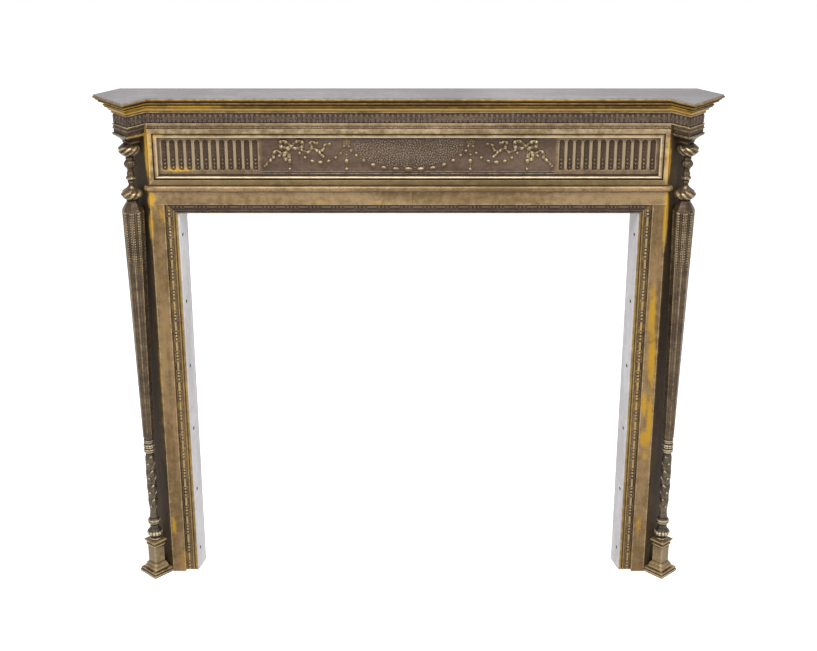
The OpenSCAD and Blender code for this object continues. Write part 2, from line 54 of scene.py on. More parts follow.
WALL_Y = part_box("mantel_shelf")[1].y
SHELF_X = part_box("mantel_shelf")[1].x
SHELF_D = WALL_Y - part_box("mantel_shelf")[0].y
FACE_D = WALL_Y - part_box("leg_face_right")[0].y
CORNER_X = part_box("leg_face_right")[1].x
SHELF_OVER = 30 * MM
BLOCK_W = 51 * MM
LEAF_D = 52 * MM
WALL = 5 * MM
DIAG = math.sqrt(2)
MITRE = WALL * math.tan(math.pi / 8)

CANT_F = CORNER_X + FACE_D
SPAN = (BLOCK_W + 2 * SHELF_OVER) * DIAG
SIDE_S = SHELF_X - SHELF_D + SPAN / 2 - SHELF_OVER * DIAG
INNER_S = SIDE_S - BLOCK_W * DIAG
FRONT_F = SHELF_X + SHELF_D - SPAN / 2 - SHELF_OVER * DIAG
AXIS = (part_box("baluster_right")[0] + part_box("baluster_right")[1]) / 2


def z_span(node):
    """The lowest and highest height of a node."""
    low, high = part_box(node)
    return low.z, high.z


def entablature(d):
    """The entablature's outline in plan, d outside the face of the leaf band."""
    s, i, f, y = SIDE_S + d * DIAG, INNER_S - d * DIAG, FRONT_F + d * DIAG, LEAF_D + d
    half = [(i + y, -y), ((i + f) / 2, (i - f) / 2), ((s + f) / 2, (s - f) / 2), (s, 0)]
    both = [(-x, depth) for x, depth in reversed(half)] + half
    return [(x, WALL_Y + depth) for x, depth in both]


def face_wrap(d, along=8 * MM):
    """The face of the body in plan, d outside it, turning a little way round each cant."""
    x, a = CORNER_X + d * math.tan(math.pi / 8), along / DIAG
    half = [(x, -FACE_D - d), (CORNER_X + d / DIAG + a, -FACE_D - d / DIAG + a)]
    both = [(-u, v) for u, v in reversed(half)] + half
    return [(u, WALL_Y + v) for u, v in both]


# ---------------------------------------------------------------- mesh making

# Places handling and polish have left golden: x, z, half width, half height in mm, then how strongly.
RUBBED = (
    (-582, 978, 13, 26, 1.0), (-586, 915, 9, 50, 0.9), (-559, 938, 9, 30, 0.7),
    (-577, 130, 9, 45, 0.8), (-556, 30, 9, 60, 0.6), (585, 925, 8, 90, 0.9), (568, 700, 12, 80, 0.72),
    (574, 590, 12, 110, 0.8), (545, 600, 12, 300, 0.5), (561, 462, 9, 34, 0.85), (577, 418, 8, 80, 0.9),
    (566, 372, 13, 30, 0.8), (572, 325, 10, 22, 0.6), (566, 130, 12, 50, 0.6), (-600, 1195, 90, 24, 0.62),
    (-480, 1195, 110, 8, 0.7), (600, 1195, 50, 24, 0.6), (-584, 1085, 9, 75, 1.0),
    (-570, 1128, 40, 7, 0.8), (582, 1075, 8, 80, 0.85), (-520, 1046, 45, 9, 0.8),
    (-612, 1133, 22, 12, 0.6), (-588, 480, 5, 380, 0.5), (588, 640, 5, 260, 0.5), (-200, 972, 40, 8, 0.5),
    (-60, 970, 30, 7, 0.6), (300, 972, 50, 8, 0.5), (420, 1195, 60, 6, 0.5), (100, 1193, 60, 5, 0.5))


def added(name, data):
    """A new object in the scene that shows the data."""
    obj = bpy.data.objects.new(name, data)
    bpy.context.scene.collection.objects.link(obj)
    return obj


class Casting:
    """Points, faces, and wear and shading for each point, gathered before they become one mesh.

    The value runs from -1 in a recess, dark with dirt and painted shade, to 1 on an edge that is rubbed
    bright and carries a painted highlight.
    """

    def __init__(self):
        self.points, self.wear, self.faces, self.finish, self.count = [], [], [], [], 0

    def add(self, points, wear, faces, finish=0):
        self.points.append(np.asarray(points, float).reshape(-1, 3))
        self.wear.append(np.asarray(wear, float).reshape(-1))
        self.faces += [[i + self.count for i in face] for face in faces]
        self.finish += [finish] * len(faces)
        self.count += len(self.points[-1])

    def mirrored(self):
        """The same casting on the other side of the middle."""
        other = Casting()
        points = np.concatenate(self.points) * [-1, 1, 1]
        other.add(points, np.concatenate(self.wear), [face[::-1] for face in self.faces])
        other.finish = list(self.finish)
        return other

    def rubbed(self):
        """How golden handling has left each point."""
        points = np.concatenate(self.points)
        gold = np.zeros(len(points))
        for *place, strength in RUBBED:
            x, z, wide, tall = (mm * MM for mm in place)
            reach = ((points[:, 0] - x) / wide) ** 2 + ((points[:, 2] - z) / tall) ** 2
            gold = np.maximum(gold, strength * np.exp(-reach))
        return gold

    def piece(self, name, metals, slot, node, smooth=40):
        """Makes the mesh, cut off flat at the wall, and puts it in place of its CAD node."""
        mesh = bpy.data.meshes.new(name)
        points = np.concatenate(self.points)
        points[:, 1] = np.minimum(points[:, 1], WALL_Y)
        mesh.from_pydata(points.tolist(), [], self.faces)
        for label, values in (("wear", np.concatenate(self.wear)), ("rubbed", self.rubbed())):
            mesh.attributes.new(label, "FLOAT", "POINT").data.foreach_set("value", values)
        for metal in metals.split():
            mesh.materials.append(METALS[metal])
        mesh.polygons.foreach_set("material_index", self.finish)
        mesh.shade_smooth()
        mesh.set_sharp_from_angle(angle=math.radians(smooth))
        work = bmesh.new()
        work.from_mesh(mesh)
        bmesh.ops.recalc_face_normals(work, faces=work.faces)
        work.to_mesh(mesh)
        work.free()
        obj = added(name, mesh)
        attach(obj, "root")
        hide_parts(node)

    def pair(self, name, metals, slot, node, smooth=40):
        """Makes the right-hand piece, then its mirror; %s stands for the side in name and node."""
        self.piece(name % "right", metals, slot, node % "right", smooth)
        self.mirrored().piece(name % "left", metals, slot, node % "left", smooth)


def grid_faces(rows, columns, wrap=False):
    """Quads over a grid of points, closed round the columns if wrap is set."""
    faces = []
    for r in range(rows - 1):
        a, b = r * columns, (r + 1) * columns
        faces += [(a + c, a + c + 1, b + c + 1, b + c) for c in range(columns - 1)]
        if wrap:
            faces.append((a + columns - 1, a, b, b + columns - 1))
    return faces


def tube_faces(rows, columns):
    """The faces of a closed tube made of rings of points, with a cap at each end."""
    caps = [list(range(columns))[::-1], [(rows - 1) * columns + i for i in range(columns)]]
    return grid_faces(rows, columns, wrap=True) + caps


def above(z, rows):
    """Rows of (a, height over z) in mm as metres; a third number, a point's own wear and shading, is kept.
    """
    return [(a * MM, z + b * MM, *wear) for a, b, *wear in rows]


def uneven(points, amount=0.12 * MM):
    """Hand-cast faces aren't quite true: moves points by a slow wander."""
    x, y, z = points[..., 0], points[..., 1], points[..., 2]
    wander = np.sin(31 * x + 17 * z + 5 * y) + 0.6 * np.sin(67 * x - 43 * z) + 0.4 * np.sin(11 * x + 95 * z)
    moved = points.copy()
    moved[..., 1] += amount * wander
    return moved


def rounded(corners, radius):
    """Rounds a closed outline of (a, b) corners; a third number is a corner's own wear and shading. Other
    outer corners get rubbed wear and a painted highlight, inner corners dirt and painted shade.
    """
    made = []
    total = len(corners)
    area = sum(corners[k - 1][0] * corners[k][1] - corners[k][0] * corners[k - 1][1] for k in range(total))
    for k in range(total):
        before, here, after = (np.array(corners[j][:2], float) for j in (k - 1, k, (k + 1) % total))
        into, out = here - before, after - here
        len_in, len_out = np.linalg.norm(into), np.linalg.norm(out)
        turn = math.atan2(into[0] * out[1] - into[1] * out[0], into @ out) * math.copysign(1, area)
        own = corners[k][2] if len(corners[k]) > 2 else None
        if abs(turn) < math.radians(20):
            made.append((*here, own if own is not None else (0.2 if turn > 0 else -0.3)))
            continue
        cut = min(radius * math.tan(abs(turn) / 2), 0.35 * len_in, 0.35 * len_out)
        start, end = here - into / len_in * cut, here + out / len_out * cut
        middle = 0.25 * start + 0.25 * end + 0.5 * here
        edge, side = (1.0, 0.45) if turn > 0 else (-1.0, -0.4)
        if own is not None:
            edge, side = own, own
        made += [(*start, side), (*(middle if turn > 0 else here), edge), (*end, side)]
    return made


def arc(centre, radius, start, end, steps=7):
    """Points along an arc, with angles in degrees."""
    angles = np.radians(np.linspace(start, end, steps + 1))
    return [(centre[0] + radius * math.cos(a), centre[1] + radius * math.sin(a)) for a in angles]


def spaced(outline, step=7 * MM):
    """Adds points along the long straight sides of an outline."""
    made = []
    for k, here in enumerate(outline):
        after = outline[(k + 1) % len(outline)]
        length = math.hypot(after[0] - here[0], after[1] - here[1])
        parts = max(1, int(length / step))
        made.append(here)
        for j in range(1, parts):
            t = j / parts
            made.append((here[0] + (after[0] - here[0]) * t, here[1] + (after[1] - here[1]) * t, 0.0))
    return made


def swept(casting, place, outline, step=20 * MM, finish=0):
    """Sweeps an outline of (a, b, wear and shading) points: place(a, b) gives a point's path, corner by
    corner.
    """
    outline = spaced(outline)
    paths = np.array([place(a, b) for a, b, _ in outline])
    spans = np.linalg.norm(paths[0, 1:] - paths[0, :-1], axis=1)
    stations = [0.0]
    for k, span in enumerate(spans):
        parts = max(1, round(span / step))
        stations += [k + (j + 1) / parts for j in range(parts)]
    rows = []
    for s in stations:
        k = min(int(s), paths.shape[1] - 2)
        rows.append(paths[:, k] * (k + 1 - s) + paths[:, k + 1] * (s - k))
    wear = np.tile([w for _, _, w in outline], len(rows))
    casting.add(uneven(np.array(rows)), wear, tube_faces(len(rows), len(outline)), finish)


def plan_place(outline_at):
    """A place for profiles of (distance out, height) swept round the plan outline_at(d)."""
    return lambda d, z: [(x, y, z) for x, y in outline_at(d)]


def across_place(x0, x1):
    """A place for profiles of (distance from the wall, height) swept straight across."""
    return lambda d, z: [(x0, WALL_Y - d, z), (x1, WALL_Y - d, z)]


def upright_place(z0, z1):
    """A place for profiles of (x, distance from the wall) swept straight up."""
    return lambda x, d: [(x, WALL_Y - d, z0), (x, WALL_Y - d, z1)]


def local_contrast(height, reach, full=None):
    """How far each point stands over its surroundings, from -1 to 1 at a relief of full."""
    padded = np.pad(height, reach, mode="edge")
    total = np.pad(padded.cumsum(0).cumsum(1), ((1, 0), (1, 0)))
    width = 2 * reach + 1
    mean = (total[width:, width:] - total[:-width, width:] - total[width:, :-width]
            + total[:-width, :-width]) / width ** 2
    full = full or 0.35 * max(np.ptp(height), 1e-9)
    return np.clip((height - mean) / full, -1, 1)


def relief(casting, origin, size, step, height, across=(1, 0, 0), up=(0, 0, 1), back=3 * MM, reach=6):
    """A carved face as a closed slab: height(u, v) raises it, with u and v from its middle."""
    across, up = Vector(across).normalized(), Vector(up).normalized()
    out = np.array(across.cross(up))
    across, up = np.array(across), np.array(up)
    columns = max(2, round(size[0] / step)) + 1
    rows = max(2, round(size[1] / step)) + 1
    u, v = np.meshgrid(np.linspace(-size[0] / 2, size[0] / 2, columns),
                       np.linspace(-size[1] / 2, size[1] / 2, rows))
    raised = height(u, v)
    points = (np.array(origin) + u[..., None] * across + v[..., None] * up + raised[..., None] * out)
    # Rubbed wear and painted highlights on raised points, dirt and painted shade in hollows; the back rim is
    # painted dark.
    wear = local_contrast(raised, reach)
    rim = ([(0, c) for c in range(columns)] + [(r, columns - 1) for r in range(1, rows)]
           + [(rows - 1, c) for c in range(columns - 2, -1, -1)] + [(r, 0) for r in range(rows - 2, 0, -1)])
    indices = [r * columns + c for r, c in rim]
    flat = points.reshape(-1, 3)
    behind = np.array([flat[i] - (raised.reshape(-1)[i] + back) * out for i in indices])
    first = len(flat)
    count = len(rim)
    faces = grid_faces(rows, columns)
    faces += [(indices[(k + 1) % count], indices[k], first + k, first + (k + 1) % count)
              for k in range(count)]
    faces.append([first + k for k in range(count)][::-1])
    casting.add(np.concatenate([flat, behind]), np.concatenate([wear.reshape(-1), -0.5 * np.ones(count)]),
                faces)


def turned(casting, profile, shapes, around, full, reach=5, calm_over=math.inf):
    """Revolves (radius, height) pairs; each shape(angle, radius, height) reshapes the radius in turn.

    Wear and shading follow how far a point stands out: rubbed wear and painted highlights on ridges, dirt
    and painted shade in grooves. They are even over the height calm_over, where the profile closes in.
    """
    angles = np.linspace(0, 2 * math.pi, around, endpoint=False)
    turn = np.ones(len(profile))[:, None] * angles
    radius, height = (np.array(column)[:, None] * np.ones(around) for column in zip(*profile))
    for shape in shapes:
        radius = shape(turn, radius, height)
    points = np.stack([AXIS.x + radius * np.cos(turn), AXIS.y + radius * np.sin(turn), height], -1)
    rolled = np.concatenate([radius[:, -reach * 2:], radius, radius[:, :reach * 2]], 1)
    wear = local_contrast(rolled, reach, full)[:, reach * 2:-reach * 2]
    wear = np.where(height > calm_over, 0.3 * wear, wear)
    casting.add(points, wear, tube_faces(len(profile), around))


def smooth_profile(knots, step):
    """A fair curve through (radius, height) knots, sampled at even steps of height."""
    r, z = np.array(knots, float).T
    slope = np.diff(r) / np.diff(z)
    tangent = np.zeros(len(z))
    tangent[0], tangent[-1] = slope[0], slope[-1]
    for k in range(1, len(z) - 1):
        if slope[k - 1] * slope[k] > 0:
            tangent[k] = 2 * slope[k - 1] * slope[k] / (slope[k - 1] + slope[k])
    at = np.linspace(z[0], z[-1], max(4, round((z[-1] - z[0]) / step)) + 1)
    k = np.clip(np.searchsorted(z, at, side="right") - 1, 0, len(z) - 2)
    h = z[k + 1] - z[k]
    t = (at - z[k]) / h
    radius = (r[k] * (1 + 2 * t) * (1 - t) ** 2 + tangent[k] * h * t * (1 - t) ** 2
              + r[k + 1] * t * t * (3 - 2 * t) + tangent[k + 1] * h * t * t * (t - 1))
    return list(zip(radius, at))


def bead(casting, centre, size, tilt=0.0, wear=0.8):
    """An oval bead, size = half lengths along x, out of the face and up, tilted in the face."""
    rings, around = 9, 14
    c, s = math.cos(tilt), math.sin(tilt)
    points = []
    for i in range(rings):
        a = math.pi * (i + 0.5) / rings - math.pi / 2
        for j in range(around):
            b = 2 * math.pi * j / around
            u = size[0] * math.sin(a)
            v = size[2] * math.cos(a) * math.cos(b)
            w = size[1] * math.cos(a) * math.sin(b)
            points.append((centre[0] + c * u - s * v, centre[1] - w, centre[2] + s * u + c * v))
    # Painted light and shade: each bead is lighter on its top and darker underneath, as if lit from above.
    heights = np.array([p[2] for p in points]) - centre[2]
    lit = wear * (0.35 + 0.75 * heights / size[2])
    casting.add(points, np.clip(lit, -0.45, 1), tube_faces(rings, around), 1)


def ribbon(casting, path, width, thick, wear=0.6):
    """A ribbon along (x, y, z) points of the face, crowned, with the given widths along it."""
    path = np.array(path, float)
    along = np.gradient(path, axis=0)
    along /= np.linalg.norm(along, axis=1)[:, None]
    side = np.stack([-along[:, 2], np.zeros(len(path)), along[:, 0]], -1)
    side /= np.linalg.norm(side, axis=1)[:, None]
    out = np.array([0, -1.0, 0])
    ring = [(math.cos(a), math.sin(a)) for a in np.linspace(0, 2 * math.pi, 8, endpoint=False)]
    ends = np.sin(np.linspace(0.08, math.pi - 0.08, len(path))) ** 0.35
    points = np.array([[p + side[k] * a * width / 2 * ends[k] + out * b * thick * ends[k] for a, b in ring]
                       for k, p in enumerate(path)])
    # Painted light and shade: the crown facing out is lighter and the sides darker, with painted glints
    # coming and going along the ribbon.
    lift = np.array([0.45 * math.sin(0.55 * k + 0.4) for k in range(len(path))])[:, None]
    shade = np.array([wear if b > 0.3 else -0.5 for _, b in ring])[None, :]
    casting.add(points, np.clip(shade + lift, -1, 1), tube_faces(len(path), len(ring)), 1)


def ridge(distance, half_width):
    """A round ridge's height, from 1 on its line to 0 at half_width."""
    t = np.clip(1 - (distance / half_width) ** 2, 0, None)
    return np.sqrt(t)


def noise(u, v, seed, scale, octaves=3):
    """Smooth seeded noise over a grid, about -1 to 1, from crossed waves."""
    draw = np.random.default_rng(seed)
    total = np.zeros_like(u)
    for octave in range(octaves):
        for _ in range(5):
            angle, phase = draw.uniform(0, 2 * math.pi, 2)
            k = 2 * math.pi / scale * 1.9 ** octave * draw.uniform(0.7, 1.3)
            total += 0.35 * 0.6 ** octave * np.sin(k * (u * math.cos(angle) + v * math.sin(angle)) + phase)
    return total


# ---------------------------------------------------------------- finishes

def node_tree(name, inputs, outputs):
    """Starts a shader node group with named inputs, {name: default}, and named outputs."""
    tree = bpy.data.node_groups.new(name, "ShaderNodeTree")
    for label, default in inputs.items():
        socket = tree.interface.new_socket(label, in_out="INPUT", socket_type="NodeSocketFloat")
        socket.default_value = default
    for label in outputs:
        tree.interface.new_socket(label, in_out="OUTPUT", socket_type="NodeSocketFloat")
    return tree, tree.nodes.new("NodeGroupInput"), tree.nodes.new("NodeGroupOutput")


def fed(tree, node, values):
    """Links or sets a node's inputs, each given by its name or number."""
    for key, value in values.items():
        if isinstance(value, bpy.types.NodeSocket):
            tree.links.new(value, node.inputs[key])
        else:
            node.inputs[key].default_value = value
    return node


def linked(tree, kind, values=None, **settings):
    """Adds a shader node of a kind, sets its properties, and links or sets its inputs."""
    node = tree.nodes.new("ShaderNode" + kind)
    for key, value in settings.items():
        setattr(node, key, value)
    return fed(tree, node, values or {})


def maths(tree, operation, a, b=0.0, clamp=False):
    return linked(tree, "Math", {0: a, 1: b}, operation=operation, use_clamp=clamp).outputs[0]


def step_between(tree, value, low, high):
    """Rises smoothly from 0 at low to 1 at high."""
    limits = {"Value": value, "From Min": low, "From Max": high}
    return linked(tree, "MapRange", limits, interpolation_type="SMOOTHSTEP").outputs["Result"]


def mottle_at(tree, scale, detail, rough=0.6, stretch=None):
    """Noise in the surround's own frame, stretched along an axis if asked."""
    place = linked(tree, "TexCoord").outputs["Object"]
    if stretch:
        place = linked(tree, "Mapping", {"Vector": place, "Scale": stretch}).outputs[0]
    values = {"Vector": place, "Scale": scale, "Detail": detail, "Roughness": rough}
    return linked(tree, "TexNoise", values).outputs["Fac"]


def make_patina():
    """Where brass is pale with handling and painted highlights, rubbed gold at its edges and patches, or
    dark with dirt and painted shade.
    """
    tree, given, made = node_tree(
        "Patina", {"Edge wear": 0.6, "Gold patches": 0.5, "Dirt and shade": 0.6, "Upright streaks": 0.0},
        ("Edge", "Gold", "Dark", "Mottle", "Fine"))
    do = partial(maths, tree)
    asked = given.outputs
    wear = linked(tree, "Attribute", attribute_name="wear").outputs["Fac"]
    rubbed = linked(tree, "Attribute", attribute_name="rubbed").outputs["Fac"]
    level = mottle_at(tree, 9.0, 5.0, 0.62, (0.35, 1, 1.6))
    upright = mottle_at(tree, 9.0, 5.0, 0.62, (3.2, 1, 0.3))
    broad = linked(tree, "Mix", {0: asked["Upright streaks"], 2: level, 3: upright}).outputs[0]
    fine = mottle_at(tree, 60.0, 6.0, 0.72)
    speck = mottle_at(tree, 210.0, 3.0, 0.6)
    mottle = do("ADD", do("MULTIPLY", broad, 0.62), do("MULTIPLY", fine, 0.38))
    # Edge: rubbed wear and painted highlights on raised and upward-facing edges.
    rough_edge = do("ADD", wear, do("MULTIPLY", do("SUBTRACT", fine, 0.5), 1.1))
    edge = do("MULTIPLY", step_between(tree, rough_edge, 0.3, 1.0), asked["Edge wear"], True)
    patch = do("ADD", do("MULTIPLY", broad, 0.8), do("MULTIPLY", fine, 0.2))
    patch = do("MULTIPLY", step_between(tree, patch, 0.56, 0.7), asked["Gold patches"])
    ragged = do("ADD", rubbed, do("MULTIPLY", do("SUBTRACT", mottle, 0.5), 1.4))
    gold = do("MAXIMUM", patch, step_between(tree, ragged, 0.3, 0.75))
    # Dark: specks of dirt, plus painted shade where the per-point value is low, in recesses and grooves.
    grime_and_shade = do("SUBTRACT", do("MULTIPLY", do("SUBTRACT", speck, 0.35), 1.2), wear)
    dark = do("MULTIPLY", step_between(tree, grime_and_shade, 0.15, 0.95), asked["Dirt and shade"], True)
    fed(tree, made, {"Edge": edge, "Gold": gold, "Dark": dark, "Mottle": mottle, "Fine": fine})
    return tree


def make_grain():
    """Fine unevenness of a cast or rolled surface, as a height."""
    tree, given, made = node_tree("Metal grain", {"Scale": 300.0}, ["Height"])
    place = linked(tree, "TexCoord").outputs["Object"]
    values = {"Vector": place, "Scale": given.outputs["Scale"], "Detail": 4.0}
    fine = linked(tree, "TexNoise", values).outputs["Fac"]
    height = maths(tree, "ADD", maths(tree, "MULTIPLY", fine, 0.35), mottle_at(tree, 28.0, 3.0))
    fed(tree, made, {"Height": height})
    return tree


PATINA = make_patina()
GRAIN = make_grain()


def mixed(tree, factor, a, b):
    """Mixes two colours, each a socket or an (r, g, b)."""
    a, b = (tint if isinstance(tint, bpy.types.NodeSocket) else (*tint, 1) for tint in (a, b))
    return linked(tree, "Mix", {"Factor": factor, 6: a, 7: b}, data_type="RGBA").outputs[2]


def aged_metal(name, body, pale, edge, dark, wear=0.7, patches=0.2, dirt_and_shade=0.8, upright=0.0,
               metallic=0.4, rough=0.3, bump=0.12, grain=300.0, gold=(0.5, 0.29, 0.035), gloss=0.4):
    """A cast metal: mottled from body to pale, worn and painted with highlights at its edges, golden in
    patches, dark with dirt and painted shade in recesses.
    """
    material = bpy.data.materials.new(name)
    material.use_nodes = True
    tree = material.node_tree
    given = {"Edge wear": wear, "Gold patches": patches, "Dirt and shade": dirt_and_shade, "Upright streaks": upright}
    patina = linked(tree, "Group", given, node_tree=PATINA).outputs
    height = linked(tree, "Group", {"Scale": grain}, node_tree=GRAIN).outputs["Height"]
    colour = mixed(tree, step_between(tree, patina["Mottle"], 0.4, 0.6), body, pale)
    for part, tint in (("Gold", gold), ("Edge", edge), ("Dark", dark)):
        colour = mixed(tree, patina[part], colour, tint)
    roughness = maths(tree, "ADD", maths(tree, "MULTIPLY", patina["Fine"], 0.3), rough - 0.1)
    roughness = maths(tree, "ADD", roughness, maths(tree, "MULTIPLY", patina["Dark"], 0.25))
    bumps = linked(tree, "Bump", {"Height": height, "Strength": bump, "Distance": 0.6 * MM})
    fed(tree, tree.nodes["Principled BSDF"], {
        "Base Color": colour, "Metallic": metallic, "Specular IOR Level": gloss,
        "Roughness": roughness, "Normal": bumps.outputs["Normal"]})
    return material


# CREAM is the colour of rubbed edges and painted highlights; the dark colour below it is that of dirt and
# painted shade in recesses.
CREAM = (0.6, 0.48, 0.31)
DIRT_AND_SHADE = (0.03, 0.017, 0.011)

# For each metal its body, pale, edge (rubbed wear and painted highlight) and dark (dirt and painted shade)
# colours, then the settings that it has of its own.
METALS = {name: aged_metal(name, *colours, **own) for name, colours, own in (
    ("flat_brass", ((0.145, 0.09, 0.034), (0.29, 0.196, 0.098), CREAM, DIRT_AND_SHADE),
     dict(patches=0.12, dirt_and_shade=0.95, gloss=0.3)),
    ("low_frame_brass", ((0.105, 0.069, 0.025), (0.185, 0.128, 0.055), (0.56, 0.49, 0.4), DIRT_AND_SHADE),
     dict(patches=0.15, dirt_and_shade=0.95, gloss=0.3)),
    ("leg_brass", ((0.122, 0.073, 0.026), (0.235, 0.15, 0.068), CREAM, DIRT_AND_SHADE),
     dict(patches=0.3, upright=1.0, gloss=0.25, gold=(0.4, 0.222, 0.014))),
    ("cornice_brass", ((0.105, 0.056, 0.01), (0.22, 0.125, 0.025), (0.55, 0.345, 0.085), DIRT_AND_SHADE),
     dict(wear=0.9, patches=0.45, dirt_and_shade=1.0, gloss=0.2)),
    ("carved_brass", ((0.056, 0.034, 0.024), (0.1, 0.067, 0.047), (0.24, 0.18, 0.12), DIRT_AND_SHADE),
     dict(wear=0.5, patches=0.03, dirt_and_shade=0.75, metallic=0.3)),
    ("strip_brass", ((0.085, 0.051, 0.024), (0.155, 0.1, 0.05), (0.42, 0.3, 0.12), DIRT_AND_SHADE),
     dict(wear=0.7, patches=0.25, dirt_and_shade=0.95, upright=1.0, metallic=0.35)),
    ("top_strip_brass", ((0.046, 0.028, 0.019), (0.082, 0.055, 0.038), (0.24, 0.17, 0.1), DIRT_AND_SHADE),
     dict(wear=0.5, patches=0.06, dirt_and_shade=0.85, metallic=0.3)),
    ("fillet_brass", ((0.14, 0.08, 0.02), (0.26, 0.16, 0.04), (0.48, 0.33, 0.11), DIRT_AND_SHADE),
     dict(wear=0.8, patches=0.5, dirt_and_shade=0.9, upright=1.0)),
    ("frieze_brass", ((0.068, 0.038, 0.022), (0.125, 0.08, 0.053), (0.24, 0.2, 0.135), DIRT_AND_SHADE),
     dict(wear=0.8, patches=0.03, dirt_and_shade=0.8, metallic=0.35)),
    ("ornament_brass", ((0.095, 0.064, 0.026), (0.175, 0.122, 0.056), (0.44, 0.355, 0.22), DIRT_AND_SHADE),
     dict(wear=0.8, patches=0.1, dirt_and_shade=0.9, metallic=0.45, rough=0.28)),
    ("fluted_brass", ((0.1, 0.062, 0.028), (0.19, 0.13, 0.07), (0.33, 0.25, 0.15), DIRT_AND_SHADE),
     dict(wear=0.75, patches=0.08, dirt_and_shade=0.85, upright=1.0, metallic=0.4)),
    ("column_bronze", ((0.05, 0.03, 0.014), (0.112, 0.074, 0.037), (0.42, 0.31, 0.16),
        (0.01, 0.008, 0.007)),
     dict(wear=0.95, patches=0.06, dirt_and_shade=0.95, metallic=0.5, rough=0.22)),
    ("foot_bronze", ((0.055, 0.038, 0.022), (0.12, 0.09, 0.055), (0.5, 0.41, 0.26),
        (0.012, 0.009, 0.008)),
     dict(wear=0.95, patches=0.12, dirt_and_shade=0.9, metallic=0.45, rough=0.24)),
    ("pedestal_bronze", ((0.115, 0.074, 0.03), (0.23, 0.155, 0.07), (0.42, 0.31, 0.15),
        (0.02, 0.013, 0.009)),
     dict(wear=0.7, patches=0.4, dirt_and_shade=0.9, rough=0.28)),
    ("cant_bronze", ((0.034, 0.021, 0.011), (0.075, 0.047, 0.02), (0.22, 0.14, 0.05), DIRT_AND_SHADE),
     dict(wear=0.5, patches=0.2, upright=1.0, metallic=0.2, rough=0.55, gloss=0.2)),
    ("grey_sheet", ((0.2, 0.19, 0.192), (0.29, 0.277, 0.28), (0.5, 0.46, 0.36), (0.2, 0.19, 0.18)),
     dict(wear=0.5, patches=0.05, dirt_and_shade=0.4, metallic=0.3, rough=0.4, gold=(0.34, 0.31, 0.27))),
    ("pale_plate", ((0.48, 0.455, 0.46), (0.62, 0.6, 0.61), (0.5, 0.4, 0.25), (0.25, 0.22, 0.2)),
     dict(wear=0.4, patches=0.1, dirt_and_shade=0.4, upright=1.0, metallic=0.1, rough=0.45,
          gold=(0.45, 0.4, 0.34))))}


def darken_round_holes(material, first, pitch, depth, reach):
    """Darkens a plate round its fixing holes, set up it from a first height at an even pitch."""
    tree = material.node_tree
    do = partial(maths, tree)
    shader = tree.nodes["Principled BSDF"]
    clean = shader.inputs["Base Color"].links[0].from_socket
    place = linked(tree, "TexCoord").outputs["Object"]
    at = linked(tree, "SeparateXYZ", {"Vector": place}).outputs
    rise = do("PINGPONG", do("SUBTRACT", at["Z"], first), pitch / 2)
    step = do("SUBTRACT", at["Y"], depth)
    away = do("SQRT", do("ADD", do("MULTIPLY", rise, rise), do("MULTIPLY", step, step)))
    mark = do("SUBTRACT", 1.0, step_between(tree, away, 0.5 * reach, reach))
    fed(tree, shader, {"Base Color": mixed(tree, mark, clean, DIRT_AND_SHADE)})


HOLE_Z, HOLE_PITCH, HOLE_Y = 54 * MM, 166 * MM, 31 * MM
darken_round_holes(METALS["pale_plate"], HOLE_Z, HOLE_PITCH, HOLE_Y, 6 * MM)


# ---------------------------------------------------------------- shelf and entablature

def make_shelf():
    low, high = z_span("mantel_shelf")
    inner, over, lip = SHELF_OVER - 6 * MM, SHELF_OVER, high - 4.4 * MM
    # Third numbers: -1 is painted shade on the underside of the nosing, 0.6 a painted highlight along its
    # top edge.
    edge = rounded([(-WALL, high - 3 * MM), (inner, high - 3 * MM), (inner, low), (over - 4 * MM, low, -1),
                    (over - 4 * MM, lip - 1 * MM, -1), (over - 1 * MM, lip, -0.2), (over, lip + 1 * MM, 0.3),
                    (over, high - 0.6 * MM, 0.6), (over - 0.6 * MM, high, 0.6), (-WALL, high)], 0.4 * MM)
    shelf = Casting()
    swept(shelf, plan_place(entablature), edge)
    shelf.piece("shelf_edge", "cornice_brass", "brass_flat", "mantel_shelf")


def make_cornice():
    low = z_span("cornice_moulding")[0]
    # Third numbers: -1 is painted shade in the grooves, 1 a painted highlight on the small fillet, 0.7 a
    # painted reflection on the lower part of the cyma, -0.45 painted shade in the hollow.
    profile = [(-WALL / MM, 0), (2.6, 0), (2.6, 1.6), (0.6, 2.0, -1), (0.6, 3.2, -1)]
    profile += [(5.4, 3.8, 1), (6.4, 5, 1), (6.4, 6.6, 1)]
    for t in np.linspace(0.1, 1, 8):
        out = 6.4 + 6.6 * (t - math.sin(2 * math.pi * t) / 9)
        profile.append((out, 6.6 + 6.2 * t, 0.7 if t < 0.35 else 0.3))
    profile += [(13, 13, -1), (13, 14, -1), (14.2, 14.6, 0.3), (14.4, 17.4, 0.3), (12.6, 18.2, -1)]
    profile += [(21.4 - 8 * math.cos(a), 18.8 + 3.9 * math.sin(a), -0.45) for a in np.radians((10, 38, 66))]
    profile += [(22, 23), (22, 25.6), (20, 26.4, -1), (20, 28.6, -1), (23.4, 29.6), (23.6, 33), (19, 33)]
    profile += [(11, 22), (-WALL / MM, 9)]
    cornice = Casting()
    swept(cornice, plan_place(entablature), rounded(above(low, profile), 0.8 * MM))
    cornice.piece("cornice", "cornice_brass", "brass_flat", "cornice_moulding")


LEAF_UNIT = 58 * MM
LEAVES = 5


